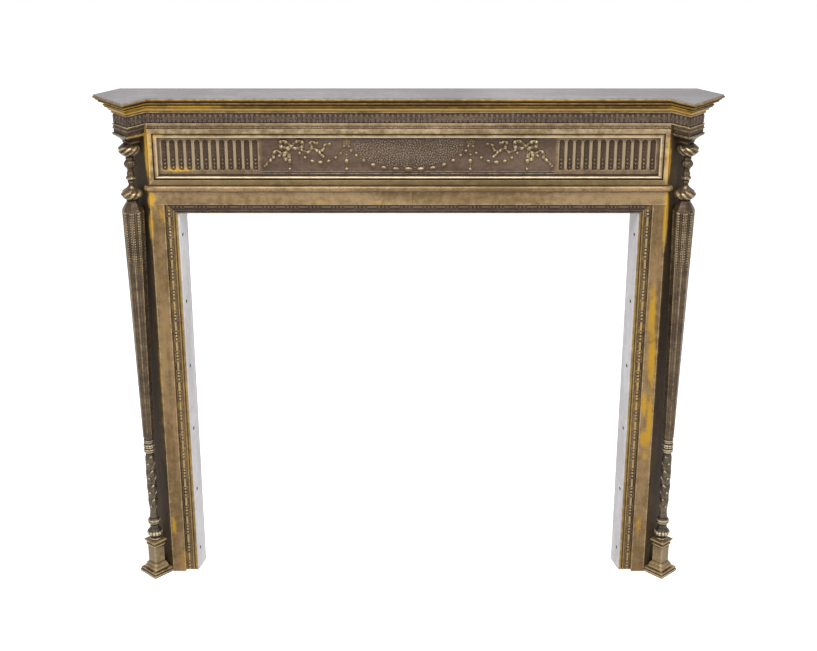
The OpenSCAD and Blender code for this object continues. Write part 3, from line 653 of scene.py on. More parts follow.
def leaf_row_height(u, v):
    """Upright leaves in fives, the middle one tallest, each rising from a curl."""
    h = 22 * MM
    pitch = LEAF_UNIT / LEAVES
    unit = (u + LEAF_UNIT / 2) % LEAF_UNIT - LEAF_UNIT / 2
    t = (u + pitch / 2) % pitch - pitch / 2
    rank = np.abs(np.round((unit - t) / pitch))
    tip = h * (0.46 - 0.05 * rank)
    foot = -h * 0.2
    along = np.clip((v - foot) / (tip - foot), 0, 1)
    half = 1.6 * MM + 3.4 * MM * along ** 0.8
    inside = (v > foot) & (v < tip)
    crown = np.sqrt(np.clip(1 - along ** 5, 0, 1))
    leaf = ridge(t, half * crown + 0.1 * MM) * (0.55 + 0.45 * along)
    vein = 0.35 * np.exp(-(t / (0.6 * MM)) ** 2)
    raised = np.where(inside, leaf * (1 - vein), 0)
    lean = np.where(unit > 0, -1, 1) * (rank > 0)
    curl = np.hypot(t - lean * 1.5 * MM, v + h * 0.3)
    drop = np.hypot(np.abs(t) - pitch / 2, (v + h * 0.02) * 0.6)
    dart = np.hypot(np.abs(unit) - LEAF_UNIT / 2, (v + h * 0.36) * 0.8)
    for share, away, half in ((0.8, np.abs(curl - 2.6 * MM), 1.1), (0.75, curl, 1.2), (0.7, drop, 1.6),
                              (0.95, dart, 2.2)):
        raised = np.maximum(raised, share * ridge(away, half * MM))
    return 2.3 * MM * raised + 0.14 * MM * noise(u, v, 3, 7 * MM)


def make_leaf_band():
    low, high = z_span("leaf_band")
    # -1 and -0.7 paint shade along the band's top, under the cornice, and along its foot.
    corners = above(low, [(-WALL / MM, 0), (2, 0), (2.2, 2.2), (-0.6, 3, -1)])
    corners += above(high, [(-0.6, -4.6, -1), (0.4, -3, -0.7), (2, -2.4), (2, 0), (-WALL / MM, 0)])
    band = Casting()
    swept(band, plan_place(entablature), rounded(corners, 0.7 * MM), finish=1)
    middle = (low + high) / 2
    plan = [Vector((x, y, 0)) for x, y in entablature(-0.6 * MM)]
    for start, end in zip(plan, plan[1:]):
        centre = (start + end) / 2 + Vector((0, 0, middle))
        length = (end - start).length - 1.2 * MM
        relief(band, centre, (length, high - low - 7 * MM), 0.8 * MM, leaf_row_height, end - start)
    band.piece("leaf_band_carving", "carved_brass flat_brass", "brass_dark", "leaf_band", 60)


# ---------------------------------------------------------------- frieze

PANEL_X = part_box("fluted_panel_right")[1].x
FRAME_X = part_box("frame_side_right")[1].x
SWAG_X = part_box("swag_panel")[1].x
PANEL_Z = z_span("fluted_panel_right")
PANEL_D = WALL_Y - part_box("fluted_panel_right")[0].y
SEAT_D = WALL_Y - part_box("fluted_panel_right")[1].y
FRAME_W = FRAME_X - PANEL_X


def frame_section(bevel=1.2 * MM, outer_wear=0.52, set_out=0):
    """The frame's section, as (distance out from the panel, distance from the wall)."""
    inner, low_d = FRAME_W * 10 / 21, FACE_D - 3.5 * MM
    section = [(0, SEAT_D)]
    if set_out:
        recess = PANEL_D + 1 * MM
        section += [(0, recess, -1), (set_out, recess, -1)]
    # Third numbers: 1 paints a highlight on the upward bevel, -1 paints shade in the groove between the
    # fasciae and in the recess; the outer fascia takes its own value.
    section += [(set_out, low_d - bevel, -0.2), (set_out + bevel, low_d, 1),
                (inner - 2 * MM, low_d, 0.2), (inner - 0.9 * MM, low_d - 1.8 * MM, -1),
                (inner + 0.7 * MM, low_d - 1.8 * MM, -1), (inner + 0.7 * MM, FACE_D - 1.2 * MM, 0),
                (inner + 1.8 * MM, FACE_D, outer_wear), (FRAME_W, FACE_D, outer_wear), (FRAME_W, SEAT_D)]
    return rounded(section, 0.6 * MM)


def mitre_ends(x0, x1, out):
    """Where a length of the frame ends at a distance out from the panel: mitred only at its far ends."""
    lo = -(PANEL_X + out) if x0 < -PANEL_X else x0
    hi = PANEL_X + out if x1 > PANEL_X else x1
    return lo, hi


def make_frame_run(name, up):
    low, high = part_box(name)
    z0 = PANEL_Z[1] if up > 0 else PANEL_Z[0]
    run = Casting()

    def place(out, depth):
        lo, hi = mitre_ends(low.x, high.x, out)
        return [(lo, WALL_Y - depth, z0 + up * out), (hi, WALL_Y - depth, z0 + up * out)]

    swept(run, place, frame_section() if up > 0 else frame_section(2.8 * MM, 0.1, 2.4 * MM))
    if up > 0:
        cap = z0 + FRAME_W
        hollow = 6 * MM
        # -1 paints shade in the line under the cap, -0.45 paints shade in its hollow.
        corners = [(SEAT_D, cap), (FACE_D, cap), (FACE_D - 0.8 * MM, cap + 0.8 * MM, -1)]
        corners += [(d, z, -0.45) for d, z in arc((FACE_D, cap + hollow + 1 * MM), hollow, 262, 180, 6)]
        corners += [(LEAF_D + 3 * MM, cap + hollow + 1.4 * MM), (LEAF_D + 3 * MM, high.z), (SEAT_D, high.z)]
        swept(run, across_place(low.x, high.x), rounded(corners, 0.6 * MM))
    run.piece(name + "_brass", "flat_brass" if up > 0 else "low_frame_brass", "brass_flat", name)


def make_frame_side():
    side = Casting()

    def place(out, depth):
        x = PANEL_X + out
        return [(x, WALL_Y - depth, PANEL_Z[0] - out), (x, WALL_Y - depth, PANEL_Z[1] + out)]

    swept(side, place, frame_section())
    side.pair("frame_side_%s_brass", "flat_brass", "brass_flat", "frame_side_%s")


FLUTE_PITCH = 18.6 * MM
FLUTE_COUNT = 12


def make_fluted_panels():
    width = PANEL_X - SWAG_X
    tall = PANEL_Z[1] - PANEL_Z[0]
    depth, half = 4.2 * MM, 6 * MM
    top, foot = tall / 2 - 6 * MM, -tall / 2 + 8 * MM

    def flutes(u, v):
        t = (u + FLUTE_COUNT % 2 * FLUTE_PITCH / 2) % FLUTE_PITCH - FLUTE_PITCH / 2
        t = np.where(np.abs(u) < FLUTE_COUNT * FLUTE_PITCH / 2, t, FLUTE_PITCH)
        beyond = np.clip(v - (top - half), 0, None) + np.clip((foot + half) - v, 0, None)
        away = np.hypot(t, beyond)
        raised = -depth * ridge(away, half)
        edge = np.exp(-((away - half - 0.7 * MM) / (0.6 * MM)) ** 2)
        raised += 0.25 * MM * edge
        for count, start, pitch, size, rise in ((3, 1, 9, 2.3, 3.2), (5, 29, 8, 1.5, 1.2)):
            for k in range(count):
                away = np.hypot(t, v - foot - half - start * MM - k * pitch * MM)
                stud = -depth + rise * MM * ridge(away, size * MM)
                raised = np.maximum(raised, np.where(away < size * MM, stud, -1))
        return raised + 0.08 * MM * noise(u, v, 11, 12 * MM)

    panel = Casting()
    centre = ((PANEL_X + SWAG_X) / 2, WALL_Y - PANEL_D, sum(PANEL_Z) / 2)
    relief(panel, centre, (width, tall), 0.8 * MM, flutes, back=PANEL_D - SEAT_D, reach=9)
    panel.pair("flutes_%s", "fluted_brass", "brass_flat", "fluted_panel_%s", 60)


BOW_X = 267 * MM
ROSETTE_X = 139 * MM
SWAG_TOP = PANEL_Z[1] - 13 * MM
GROUND_Y = WALL_Y - PANEL_D


def hang(t, fall, power):
    """How far a swag has risen from its lowest point at t, from -1 to 1 across it."""
    return fall * abs(t) ** power


LONG_SWAG = (136 * MM, 51 * MM, 3.0)
SHORT_SWAG = (54 * MM, 30 * MM, 2.2)
LONG_LOW = PANEL_Z[1] - 75 * MM
SHORT_LOW = PANEL_Z[1] - 59 * MM


def ground_height(u, v):
    """The middle panel's ground: stippled between the rosettes over the long swag, tooled elsewhere."""
    z = v + sum(PANEL_Z) / 2
    draw = np.random.default_rng(5)
    dots = np.zeros_like(u)
    pitch = 4.1 * MM
    rows, columns = u.shape
    du = u[0, 1] - u[0, 0]
    ragged = 3 * MM * noise(u, v, 14, 14 * MM, 2)
    over_swag = z - LONG_LOW - hang(u / LONG_SWAG[0], LONG_SWAG[1], LONG_SWAG[2])
    inside = (np.abs(u) < 122 * MM + ragged) & (over_swag > 7 * MM + ragged) & (np.abs(v) < 38 * MM)
    for row, h in enumerate(np.arange(-38 * MM, 38 * MM, pitch)):
        for x in np.arange(-122 * MM, 122 * MM, pitch):
            cx = x + (0.5 * (row % 2) + draw.uniform(-0.42, 0.42)) * pitch
            cz = h + draw.uniform(-0.42, 0.42) * pitch
            c, r = int((cx - u[0, 0]) / du), int((cz - v[0, 0]) / du)
            c0, c1, r0, r1 = max(c - 3, 0), min(c + 4, columns), max(r - 3, 0), min(r + 4, rows)
            if c1 <= c0 or r1 <= r0:
                continue
            here = ridge(np.hypot(u[r0:r1, c0:c1] - cx, v[r0:r1, c0:c1] - cz), 1.95 * MM)
            dots[r0:r1, c0:c1] = np.maximum(dots[r0:r1, c0:c1], here)
    lip = 1.2 * MM * (np.clip(np.abs(v) - 40.5 * MM, 0, 1 * MM) / (1 * MM))
    ledge = 1.1 * MM * ridge(v + 37.5 * MM, 1.3 * MM) - 0.7 * MM * ridge(v + 40 * MM, 1 * MM)
    return np.where(inside, 1.3 * MM * dots, 0) + 0.16 * MM * noise(u, v, 8, 10 * MM) + lip + ledge


def swag(casting, middle, low, shape, each_side, big, small):
    """A string of oval beads, largest at its lowest point, with small round beads between them."""
    half, fall, power = shape

    def at(t):
        return middle + t * half, low + hang(t, fall, power)

    def lean(t):
        return math.atan(math.copysign(power * fall * abs(t) ** (power - 1), t) / half)

    places = [math.sin(k * math.pi / 2 / (each_side + 1.6)) for k in range(-each_side, each_side + 1)]
    for t in places:
        size = small + (big - small) * (1 - abs(t)) ** 1.2
        x, z = at(t)
        bead(casting, (x, GROUND_Y - 1.5 * MM, z), (size, 4.2 * MM, 3.4 * MM + 0.2 * size), lean(t))
    for before, after in zip(places[:-1], places[1:]):
        x, z = at((before + after) / 2)
        bead(casting, (x, GROUND_Y - 0.6 * MM, z), (1.7 * MM, 2 * MM, 1.7 * MM), 0, 0.2)
        x, z = at(after)
        bead(casting, (x, GROUND_Y - 1 * MM, z + 6 * MM), (1.1 * MM, 2 * MM, 1.6 * MM), 0, 0.5)


def pendant(casting, x):
    z = SWAG_TOP - 4 * MM
    for drop, wide, tall in ((18, 1.6, 1.8), (24, 3, 3), (30, 2, 1.6), (39.5, 5.6, 7), (48.5, 2.4, 1.8),
                             (58, 4, 4.2), (53, 1.6, 1.8)):
        bead(casting, (x, GROUND_Y - 0.25 * wide * MM, z - drop * MM),
             (wide * MM, (1 + 0.7 * wide) * MM, tall * MM))


def rosette(casting, x):
    """A round flower of two rings of petals about a button, with leaves below it."""
    z = PANEL_Z[1] - 10.5 * MM
    for ring, petals, size in ((7.6, 11, 2.7), (4.2, 7, 2.3)):
        for k in range(petals):
            a = 2 * math.pi * (k + 0.5 * (ring < 5)) / petals
            rise = 1.0 if ring > 5 else 2.2
            bead(casting, (x + ring * MM * math.cos(a), GROUND_Y - rise * MM, z + ring * MM * math.sin(a)),
                 (size * MM, 2.8 * MM, size * 0.95 * MM), 0, 0.62)
    bead(casting, (x, GROUND_Y - 3.2 * MM, z), (2 * MM, 1.8 * MM, 2 * MM), 0, 0.9)
    for s in (-1, 1):
        ribbon(casting, [(x + s * (3 + 7 * t) * MM, GROUND_Y - 1 * MM, z - (8 + 7 * t - 3 * t * t) * MM)
                         for t in np.linspace(0, 1, 9)], 4.5 * MM, 2 * MM, 0.3)


def curve_path(corners):
    """A fair curve through (x, z) points, rising and dipping a little out of the ground."""
    points = [np.array(p, float) for p in corners]
    points = [2 * points[0] - points[1], *points, 2 * points[-1] - points[-2]]
    path = []
    for a, b, c, d in zip(points, points[1:], points[2:], points[3:]):
        path += [0.5 * (2 * b + (c - a) * t + (2 * a - 5 * b + 4 * c - d) * t * t
                        + (3 * b - 3 * c + d - a) * t ** 3) for t in np.linspace(0, 1, 9, endpoint=False)]
    path.append(points[-2])
    return [(x, GROUND_Y - (1.6 + 1.1 * math.sin(0.55 * k)) * MM, z) for k, (x, z) in enumerate(path)]


# Ribbons of the bow over the outer pendant, in mm from its knot: outwards, then up.
BOW_RIBBONS = (
    ((0, 0), (7, 8), (17, 13), (24, 10), (23, 1), (12, -3), (0, 0)),
    ((0, 0), (-8, 9), (-17, 14), (-26, 9), (-24, 0), (-12, -4), (0, 0)),
    ((2, -2), (12, -12), (17, -24), (11, -30), (5, -24), (11, -15), (22, -16), (30, -24)),
    ((22, -14), (33, -10), (41, -16), (40, -26), (47, -31), (54, -38), (60, -46)),
    ((-20, -4), (-32, -12), (-42, -10), (-46, 0), (-43, 9), (-50, 12), (-58, 6)),
    ((-44, 0), (-53, -6), (-62, -10), (-72, -6), (-75, 4), (-84, 6)),
    ((-62, -10), (-68, -20), (-76, -24)))


def ribbon_bow(casting, side):
    """A bow with its loops over the pendant and its tails wandering out and in."""
    x, z = side * (BOW_X - 4 * MM), SWAG_TOP - 9 * MM
    for k, places in enumerate(BOW_RIBBONS):
        path = curve_path([(x + side * a * MM, z + b * MM) for a, b in places])
        ribbon(casting, path, (9.5 if k < 3 else 8.0) * MM, 3 * MM, 0.35)
        a, b = places[len(places) // 2]
        bead(casting, (x + side * a * MM, GROUND_Y - 2.6 * MM, z + b * MM), (3.6 * MM, 3 * MM, 2.9 * MM),
             0.5, 0.8)
    for a, b in ((60, -46), (-18, 13), (18, 13), (-58, 8), (-86, 6)):
        bead(casting, (x + side * a * MM, GROUND_Y - 1.6 * MM, z + b * MM),
             (4.7 * MM, 3.8 * MM, 3.9 * MM), 0.3, 0.6)
    bead(casting, (x, GROUND_Y - 2.4 * MM, z), (4.6 * MM, 3.6 * MM, 5 * MM), 0, 0.7)


def make_swag_panel():
    panel = Casting()
    relief(panel, (0, GROUND_Y, sum(PANEL_Z) / 2), (2 * SWAG_X, PANEL_Z[1] - PANEL_Z[0]), 1.0 * MM,
           ground_height, back=PANEL_D - SEAT_D, reach=3)
    swag(panel, 0, LONG_LOW, LONG_SWAG, 6, 10.5 * MM, 4 * MM)
    for side in (-1, 1):
        swag(panel, side * 198 * MM, SHORT_LOW, SHORT_SWAG, 3, 7 * MM, 3.8 * MM)
        rosette(panel, side * ROSETTE_X)
        pendant(panel, side * ROSETTE_X)
        pendant(panel, side * BOW_X)
        ribbon_bow(panel, side)
    panel.piece("swags_and_bows", "frieze_brass ornament_brass", "brass_dark", "swag_panel", 60)


# ---------------------------------------------------------------- lintel and legs

def make_torus():
    low, high = z_span("torus_moulding")
    r, middle = (high - low) / 2 - 2 * MM, (low + high) / 2
    # -0.9 and -1 paint shade in the gaps under and over the torus; its round is a little darker throughout.
    corners = above(low, [(0, 0), (1.5, 0, -0.9), (1.5, 2, -0.9)])
    corners += [(d, z, -0.1) for d, z in arc((8 * MM - r, middle), r, -75, 75, 9)]
    corners += above(high, [(1.5, -2, -1), (1.5, 0, -1), (0, 0)])
    torus = Casting()
    swept(torus, plan_place(face_wrap), rounded(corners, 0.6 * MM))
    back = rounded([(FACE_D - WALL, low), (FACE_D, low), (FACE_D, high), (FACE_D - WALL, high)], 0.2 * MM)

    def place(depth, z):
        x = CORNER_X - MITRE * (FACE_D - depth) / WALL
        return [(-x, WALL_Y - depth, z), (x, WALL_Y - depth, z)]

    swept(torus, place, back)
    torus.piece("torus_brass", "flat_brass", "brass_flat", "torus_moulding")


def make_lintel():
    low, high = z_span("lintel_left")
    leg_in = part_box("leg_face_right")[0].x
    strip_d = WALL_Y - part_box("lintel_left")[1].y
    for name in ("lintel_left", "lintel_right"):
        box_low, box_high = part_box(name)
        half = Casting()

        def place(depth, z):
            shrink = MITRE * (FACE_D - depth) / WALL
            seam = 0.5 * MM if depth > FACE_D - 0.8 * MM else 0
            x0 = box_low.x + shrink if box_low.x < -leg_in else box_low.x + seam
            x1 = box_high.x - shrink if box_high.x > leg_in else box_high.x - seam
            return [(x0, WALL_Y - depth, z), (x1, WALL_Y - depth, z)]

        swept(half, place, rounded([(FACE_D - WALL, low), (FACE_D, low), (FACE_D, high),
                                    (FACE_D - WALL, high)], 1.0 * MM))
        lip = rounded([(strip_d, low), (FACE_D - WALL, low), (FACE_D - WALL, low + WALL),
                       (strip_d, low + WALL)], 0.3 * MM)
        swept(half, across_place(max(box_low.x, -leg_in), min(box_high.x, leg_in)), lip)
        half.piece(name + "_brass", "flat_brass", "brass_flat", name)


def make_leg_faces():
    low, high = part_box("leg_face_right")
    strip_d = WALL_Y - high.y
    leg = Casting()
    corners = [(low.x, FACE_D), (low.x, strip_d), (low.x + WALL, strip_d), (low.x + WALL, FACE_D - WALL),
               (CORNER_X - MITRE, FACE_D - WALL), (CORNER_X, FACE_D)]
    swept(leg, upright_place(low.z, high.z), rounded(corners, 1.0 * MM))
    leg.pair("leg_%s_brass", "leg_brass", "brass_flat", "leg_face_%s")


STRIP_D = WALL_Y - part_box("carved_strip_right")[0].y - 2.5 * MM
OPEN_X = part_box("carved_strip_right")[0].x
LEG_IN_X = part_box("leg_face_right")[0].x
OPENING_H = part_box("return_plate_right")[1].z
FLAT_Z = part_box("lintel_left")[0].z
STRIP_UNIT = 52 * MM


def strip_carving(length, wide):
    """Height of the carving along a strip: plain bars between clusters of leaves and reels."""
    half = wide / 2

    def height(u, v):
        t = (u + length / 2) % STRIP_UNIT - STRIP_UNIT / 2
        bar = 1.0 * (np.abs(t) < 11 * MM)
        crown = ridge(np.abs(v), half * 0.5)
        raised = bar * crown * 2.0 * MM
        rest = np.abs(t) - STRIP_UNIT / 2
        for centre in (0, 8.4 * MM):
            bulge = ridge(np.hypot(rest + centre, v * 0.9), 3.1 * MM)
            raised = np.maximum(raised, (1 - bar) * bulge * 2.6 * MM)
        collar = np.exp(-((np.abs(t) - 12.5 * MM) / (1.2 * MM)) ** 2) * (np.abs(v) < half * 0.8)
        raised = np.maximum(raised, 1.6 * MM * collar)
        beside = np.clip(1 - np.abs(np.abs(v) - half * 0.7) / (2.2 * MM), 0, 1)
        leaf = np.abs(np.sin(math.pi * rest / (4.6 * MM))) * beside
        raised = np.maximum(raised, (1 - bar) * leaf * 1.5 * MM)
        return raised + 0.15 * MM * noise(u, v, 21, 6 * MM)

    return height


def strip_outline(open_edge, leg_edge):
    """Section of the moulded strip, as (place, distance from the wall): carved part, then two fillets."""
    wide = leg_edge - open_edge
    scale = wide / 28
    marks = [(0, -5), (0, 2.5), (4.2, 2.5), (4.6, -1), (7, -1), (7.4, 2), (10, 2), (10.8, 0), (28, 0),
             (28, -5)]
    return rounded([(open_edge + a * scale, STRIP_D + b * MM) for a, b in marks], 0.8 * MM)


def make_strips():
    wide = LEG_IN_X - OPEN_X
    tall = FLAT_Z - OPENING_H
    side = Casting()

    def upright(x, d):
        share = (x - OPEN_X) / wide
        return [(x, WALL_Y - d, 0), (x, WALL_Y - d, OPENING_H + share * tall)]

    swept(side, upright, strip_outline(OPEN_X, LEG_IN_X), finish=1)
    carved = wide - 12 * MM
    relief(side, (LEG_IN_X - carved / 2 - 0.6 * MM, WALL_Y - STRIP_D, (OPENING_H + 12 * MM) / 2),
           (OPENING_H + 8 * MM, carved), 1.0 * MM, strip_carving(OPENING_H, carved),
           (0, 0, -1), (1, 0, 0), back=2 * MM)
    side.pair("carved_strip_%s_brass", "strip_brass fillet_brass", "brass_dark",
               "carved_strip_%s", 60)

    top = Casting()

    def across(z, d):
        share = (z - OPENING_H) / tall
        x = OPEN_X + share * wide
        return [(-x, WALL_Y - d, z), (x, WALL_Y - d, z)]

    swept(top, across, strip_outline(OPENING_H, FLAT_Z))
    carved = tall - 10 * MM
    relief(top, (0, WALL_Y - STRIP_D, FLAT_Z - carved / 2 - 0.6 * MM), (2 * OPEN_X + 20 * MM, carved),
           1.0 * MM, strip_carving(2 * OPEN_X, carved), back=2 * MM)
    top.piece("carved_strip_top_brass", "top_strip_brass", "brass_dark", "carved_strip_top", 60)


def make_canted_panels():
    z0, z1 = z_span("canted_panel_right")
    back_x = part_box("canted_panel_right")[1].x
    turn_d = CANT_F - back_x
    corners = [(CORNER_X, FACE_D), (back_x, turn_d), (back_x, 0), (back_x - WALL, 0),
               (back_x - WALL, turn_d + WALL - WALL * DIAG), (CORNER_X - MITRE, FACE_D - WALL)]
    cant = Casting()
    swept(cant, upright_place(z0, z1), rounded(corners, 0.9 * MM))
    cant.pair("cant_%s_bronze", "cant_bronze", "brass_dark", "canted_panel_%s")


# ---------------------------------------------------------------- colonnettes

def block_outline(e):
    """The block over a colonnette in plan, e outside its faces, from panel to panel."""
    s, i, f = SIDE_S + e * DIAG, INNER_S - e * DIAG, FRONT_F + e * DIAG
    back = CANT_F
    points = [((i + back) / 2, (i - back) / 2), ((i + f) / 2, (i - f) / 2),
              ((s + f) / 2, (s - f) / 2), ((s + back) / 2, (s - back) / 2)]
    return [(x, WALL_Y + y) for x, y in points]


def make_corner_blocks():
    low, high = z_span("corner_block_right")
    cap_low = z_span("capital_right")[0]
    block = Casting()
    corners = above(low, [(-12, 0), (2.2, 0), (3, 1), (3, 3), (0, 4.5)])
    corners += above(high, [(0, -10), (1.8, -9), (1.8, -6.5), (0.5, -5), (0.5, 0), (-12, 0)])
    swept(block, plan_place(block_outline), rounded(corners, 0.7 * MM))
    block.pair("block_%s_bronze", "column_bronze", "bronze_column", "corner_block_%s")

    capital = Casting()
    shrink = BLOCK_W / 4
    corners = [(-shrink - 8 * MM, cap_low), (-shrink, cap_low), (-shrink + 0.5 * MM, cap_low + 2.5 * MM)]
    corners += [(-shrink + (shrink + 1.5 * MM) * t ** 1.5, cap_low + 3 * MM + (low - cap_low - 5 * MM) * t)
                for t in np.linspace(0.1, 1, 7)]
    corners += [(2 * MM, low - 1 * MM), (2 * MM, low), (-shrink - 8 * MM, low)]
    swept(capital, plan_place(block_outline), rounded(corners, 0.6 * MM))
    capital.pair("capital_%s_bronze", "column_bronze", "bronze_column", "capital_%s")


def spiral(strength, lobes, twist, z0, z1):
    """Gadroons that wind round a bulb between heights z0 and z1."""
    def shape(angle, radius, height):
        share = np.clip((height - z0) / (z1 - z0), 0, 1)
        fade = np.sin(math.pi * share) ** 0.7
        lobe = np.abs(np.sin(lobes / 2 * (angle + twist * share)))
        return radius - strength * fade * (1 - lobe ** 0.8)
    return shape


def make_balusters():
    z0 = z_span("baluster_right")[0]
    knots = [(13, 0), (13.5, 2), (11, 4), (16, 7), (23.2, 13), (24.9, 18), (23.6, 22), (17, 28),
             (10.5, 33), (8, 36), (6.2, 38), (5.6, 42), (7.6, 45), (7.8, 48), (7, 50), (10, 53),
             (11.6, 56), (10.4, 58), (8, 62), (8.6, 66), (7.2, 70), (6.6, 74), (8, 78), (12.4, 84),
             (13.8, 89), (12.2, 94), (8.4, 99), (9.2, 102), (8, 105), (12, 108), (20, 113), (24, 119),
             (24.6, 125), (21.6, 130), (15.4, 134), (12, 137)]
    shapes = [spiral(strength * MM, 8, twist, z0 + z1 * MM, z0 + z2 * MM) for strength, twist, z1, z2 in (
        (3.4, 1.3, 5, 34), (3.6, 1.8, 106, 136), (1.2, 0.0, 79, 99), (0.9, 0.0, 50, 61))]
    baluster = Casting()
    turned(baluster, smooth_profile(above(z0, knots), 0.9 * MM), shapes, 112, 1.9 * MM)
    baluster.pair("baluster_%s_bronze", "column_bronze", "bronze_column", "baluster_%s", 60)


def make_shafts():
    low, high = z_span("shaft_right")
    dome = high - 19 * MM
    eighth = math.pi / 4
    taper = above(low, [(12.5, 0)]) + above(dome, [(24.4, -4)])
    profile = smooth_profile(taper, 1.5 * MM)
    profile += above(dome, [(24.5, -2), (24.5, 0), (23.6, 1.5), (21, 6), (17, 13)])
    profile += above(high, [(13.5, -1), (13, 0)])
    beaded_from = dome - 0.3 * (dome - low)

    def shape(angle, radius, height):
        turn = (angle + eighth / 2) % eighth - eighth / 2
        side = (angle + math.pi / 8 + eighth / 2) % eighth - eighth / 2
        flat = radius * math.cos(eighth / 2) / np.cos(side)
        across = flat * np.abs(turn)
        on_shaft = np.clip((dome - 3 * MM - height) / (1.5 * MM), 0, 1)
        arris = 0.7 * MM * np.exp(-(across / (0.9 * MM)) ** 2)
        pitch = 6 * MM
        row = (height + pitch / 2) % pitch - pitch / 2
        beads = 1.25 * MM * ridge(np.hypot(across - 3.6 * MM, row), 2.2 * MM)
        gully = -0.5 * MM * np.exp(-((across - 6.2 * MM) / (0.9 * MM)) ** 2)
        upper = np.clip((height - beaded_from) / (60 * MM), 0, 1)
        centre = flat * np.abs(side)
        stipple = 0.3 * MM * np.sin(height / (0.75 * MM)) * np.sin(angle * 46) * (centre < 5 * MM)
        reeds = 0.55 * MM * np.abs(np.cos(math.pi * centre / (flat * 0.27))) ** 1.5
        carved = upper * (beads + gully + stipple) + (1 - upper) * (reeds - 0.2 * MM)
        zigzag = 1.2 * MM * np.abs((angle * 24 / math.pi) % 2 - 1)
        top_rim = 0.7 * MM * np.exp(-((height - dome + 3.4 * MM + zigzag) / (1.1 * MM)) ** 2)
        return flat + on_shaft * (arris + carved) + top_rim

    shaft = Casting()
    turned(shaft, profile, [shape], 128, 0.85 * MM, reach=3, calm_over=dome - 2.6 * MM)
    shaft.pair("shaft_%s_bronze", "column_bronze", "bronze_column", "shaft_%s", 60)


def make_column_feet():
    z0 = z_span("column_foot_right")[0]
    knots = [(14, 0), (14, 3), (12, 6), (15, 11), (19, 16), (19.4, 20), (15.6, 25), (11.6, 31),
             (10.8, 34), (11, 40), (13.2, 43), (15.5, 48), (15.4, 52), (12.4, 57), (10.6, 60), (10.2, 66),
             (9, 74), (9.8, 84), (11.6, 120), (12.4, 160), (12.4, 200), (11.2, 228), (9.6, 236),
             (10.4, 238), (13.2, 243), (13.2, 248), (10.8, 251), (13.4, 254), (13.6, 260), (10.8, 264),
             (12.4, 267), (12.4, 272), (10.8, 276), (11, 278)]
    leaf0, leaf1 = z0 + 76 * MM, z0 + 234 * MM

    def leaves(angle, radius, height):
        share = (height - leaf0) / (leaf1 - leaf0)
        on = (share > 0) & (share < 1)
        rows = 8
        k = np.floor(share * rows)
        t = share * rows - k
        lobe = (angle * 4 / (2 * math.pi) + 0.5 * (k % 2) + 0.35 * t) % 1 - 0.5
        edge = np.clip(1 - np.abs(lobe) * 2 / np.clip(1.05 - t ** 2.2, 0.05, 1), 0, 1)
        leaf = np.sqrt(edge) * (0.4 + 0.6 * t)
        vein = 0.3 * np.exp(-(lobe / 0.03) ** 2)
        rise = (2.4 * leaf * (1 - vein) - 1.2) * MM
        fade = np.sin(math.pi * np.clip(share, 0, 1)) ** 0.2
        return radius + np.where(on, rise * fade, 0)

    foot = Casting()
    shapes = [leaves, spiral(0.8 * MM, 14, 0.0, z0 + 9 * MM, z0 + 32 * MM),
              spiral(0.7 * MM, 12, 0.0, z0 + 252 * MM, z0 + 264 * MM)]
    turned(foot, smooth_profile(above(z0, knots), 1.1 * MM), shapes, 88, 0.5 * MM, reach=3)
    foot.pair("column_foot_%s_bronze", "foot_bronze", "bronze_column", "column_foot_%s", 60)


def square_outline(half, rear):
    """The plan corners of a square set at 45 degrees about the axis, with its own reach to the rear."""
    corners = ((half, -half), (half, half), (-rear, half), (-rear, -half))
    c = math.sqrt(0.5)
    return np.array([(AXIS.x + c * a + c * b, AXIS.y - c * a + c * b) for a, b in corners])


def stacked(casting, profile, rear=math.inf):
    """A square turned piece: (half side, height, wear and shading) rows joined into one closed shell."""
    points = []
    for half, z, _ in profile:
        corners = square_outline(half, min(half, rear))
        for a, b in zip(corners, np.roll(corners, -1, 0)):
            cut = 0.7 * MM / np.linalg.norm(b - a)
            points += [(*(a * (1 - t) + b * t), z) for t in (cut, 0.25, 0.5, 0.75, 1 - cut)]
    count = len(points) // len(profile)
    own = np.repeat([w for _, _, w in profile], count)
    # Each corner gets rubbed wear and a painted highlight; a row below -0.5 paints shade in a groove.
    edge = np.tile([0.72, 0, 0, 0, 0.72], 4 * len(profile))
    wear = np.where(own < -0.5, -0.8, np.maximum(own, edge))
    casting.add(points, wear, tube_faces(len(profile), count))


def make_pedestals():
    # Third numbers: 1 paints a highlight on an upper edge, -1 paints shade in a groove.
    marks = [(21.2, 0, 0), (21.2, 3.2, 1), (20.4, 4.2, 0.6), (18.6, 11, 0), (18, 12.4, 0.8), (15, 16, 0),
             (14.2, 17.2, -1), (14.2, 20, 0), (14.2, 58, 0), (14.2, 61, -0.9), (16.6, 63.6, 0),
             (17, 64.4, 1), (17, 66.8, 1), (16.2, 67.6, 0), (15.2, 68.2, -1), (15.6, 70, 0),
             (18.8, 75, 0.2), (20.2, 76.6, 1), (20.2, 78.2, 1), (19.4, 79.2, 0.4), (14.6, 81, 0)]
    pedestal = Casting()
    stacked(pedestal, above(z_span("pedestal_right")[0], marks))
    pedestal.pair("pedestal_%s_bronze", "pedestal_bronze", "bronze_column", "pedestal_%s")
    marks = [(29.6, 0, 0), (30.4, 0.8, 0.4), (30.4, 6, 0.8), (29.6, 6.8, 0.4), (27.2, 7.4, -1),
             (27.2, 8.2, -1), (28.4, 9, 0.3), (28.6, 11.6, 0.8), (27.6, 12.6, 0.6), (22, 13, 0)]
    plinth = Casting()
    stacked(plinth, above(z_span("plinth_right")[0], marks), rear=25.5 * MM)
    plinth.pair("plinth_%s_bronze", "column_bronze", "bronze_column", "plinth_%s")


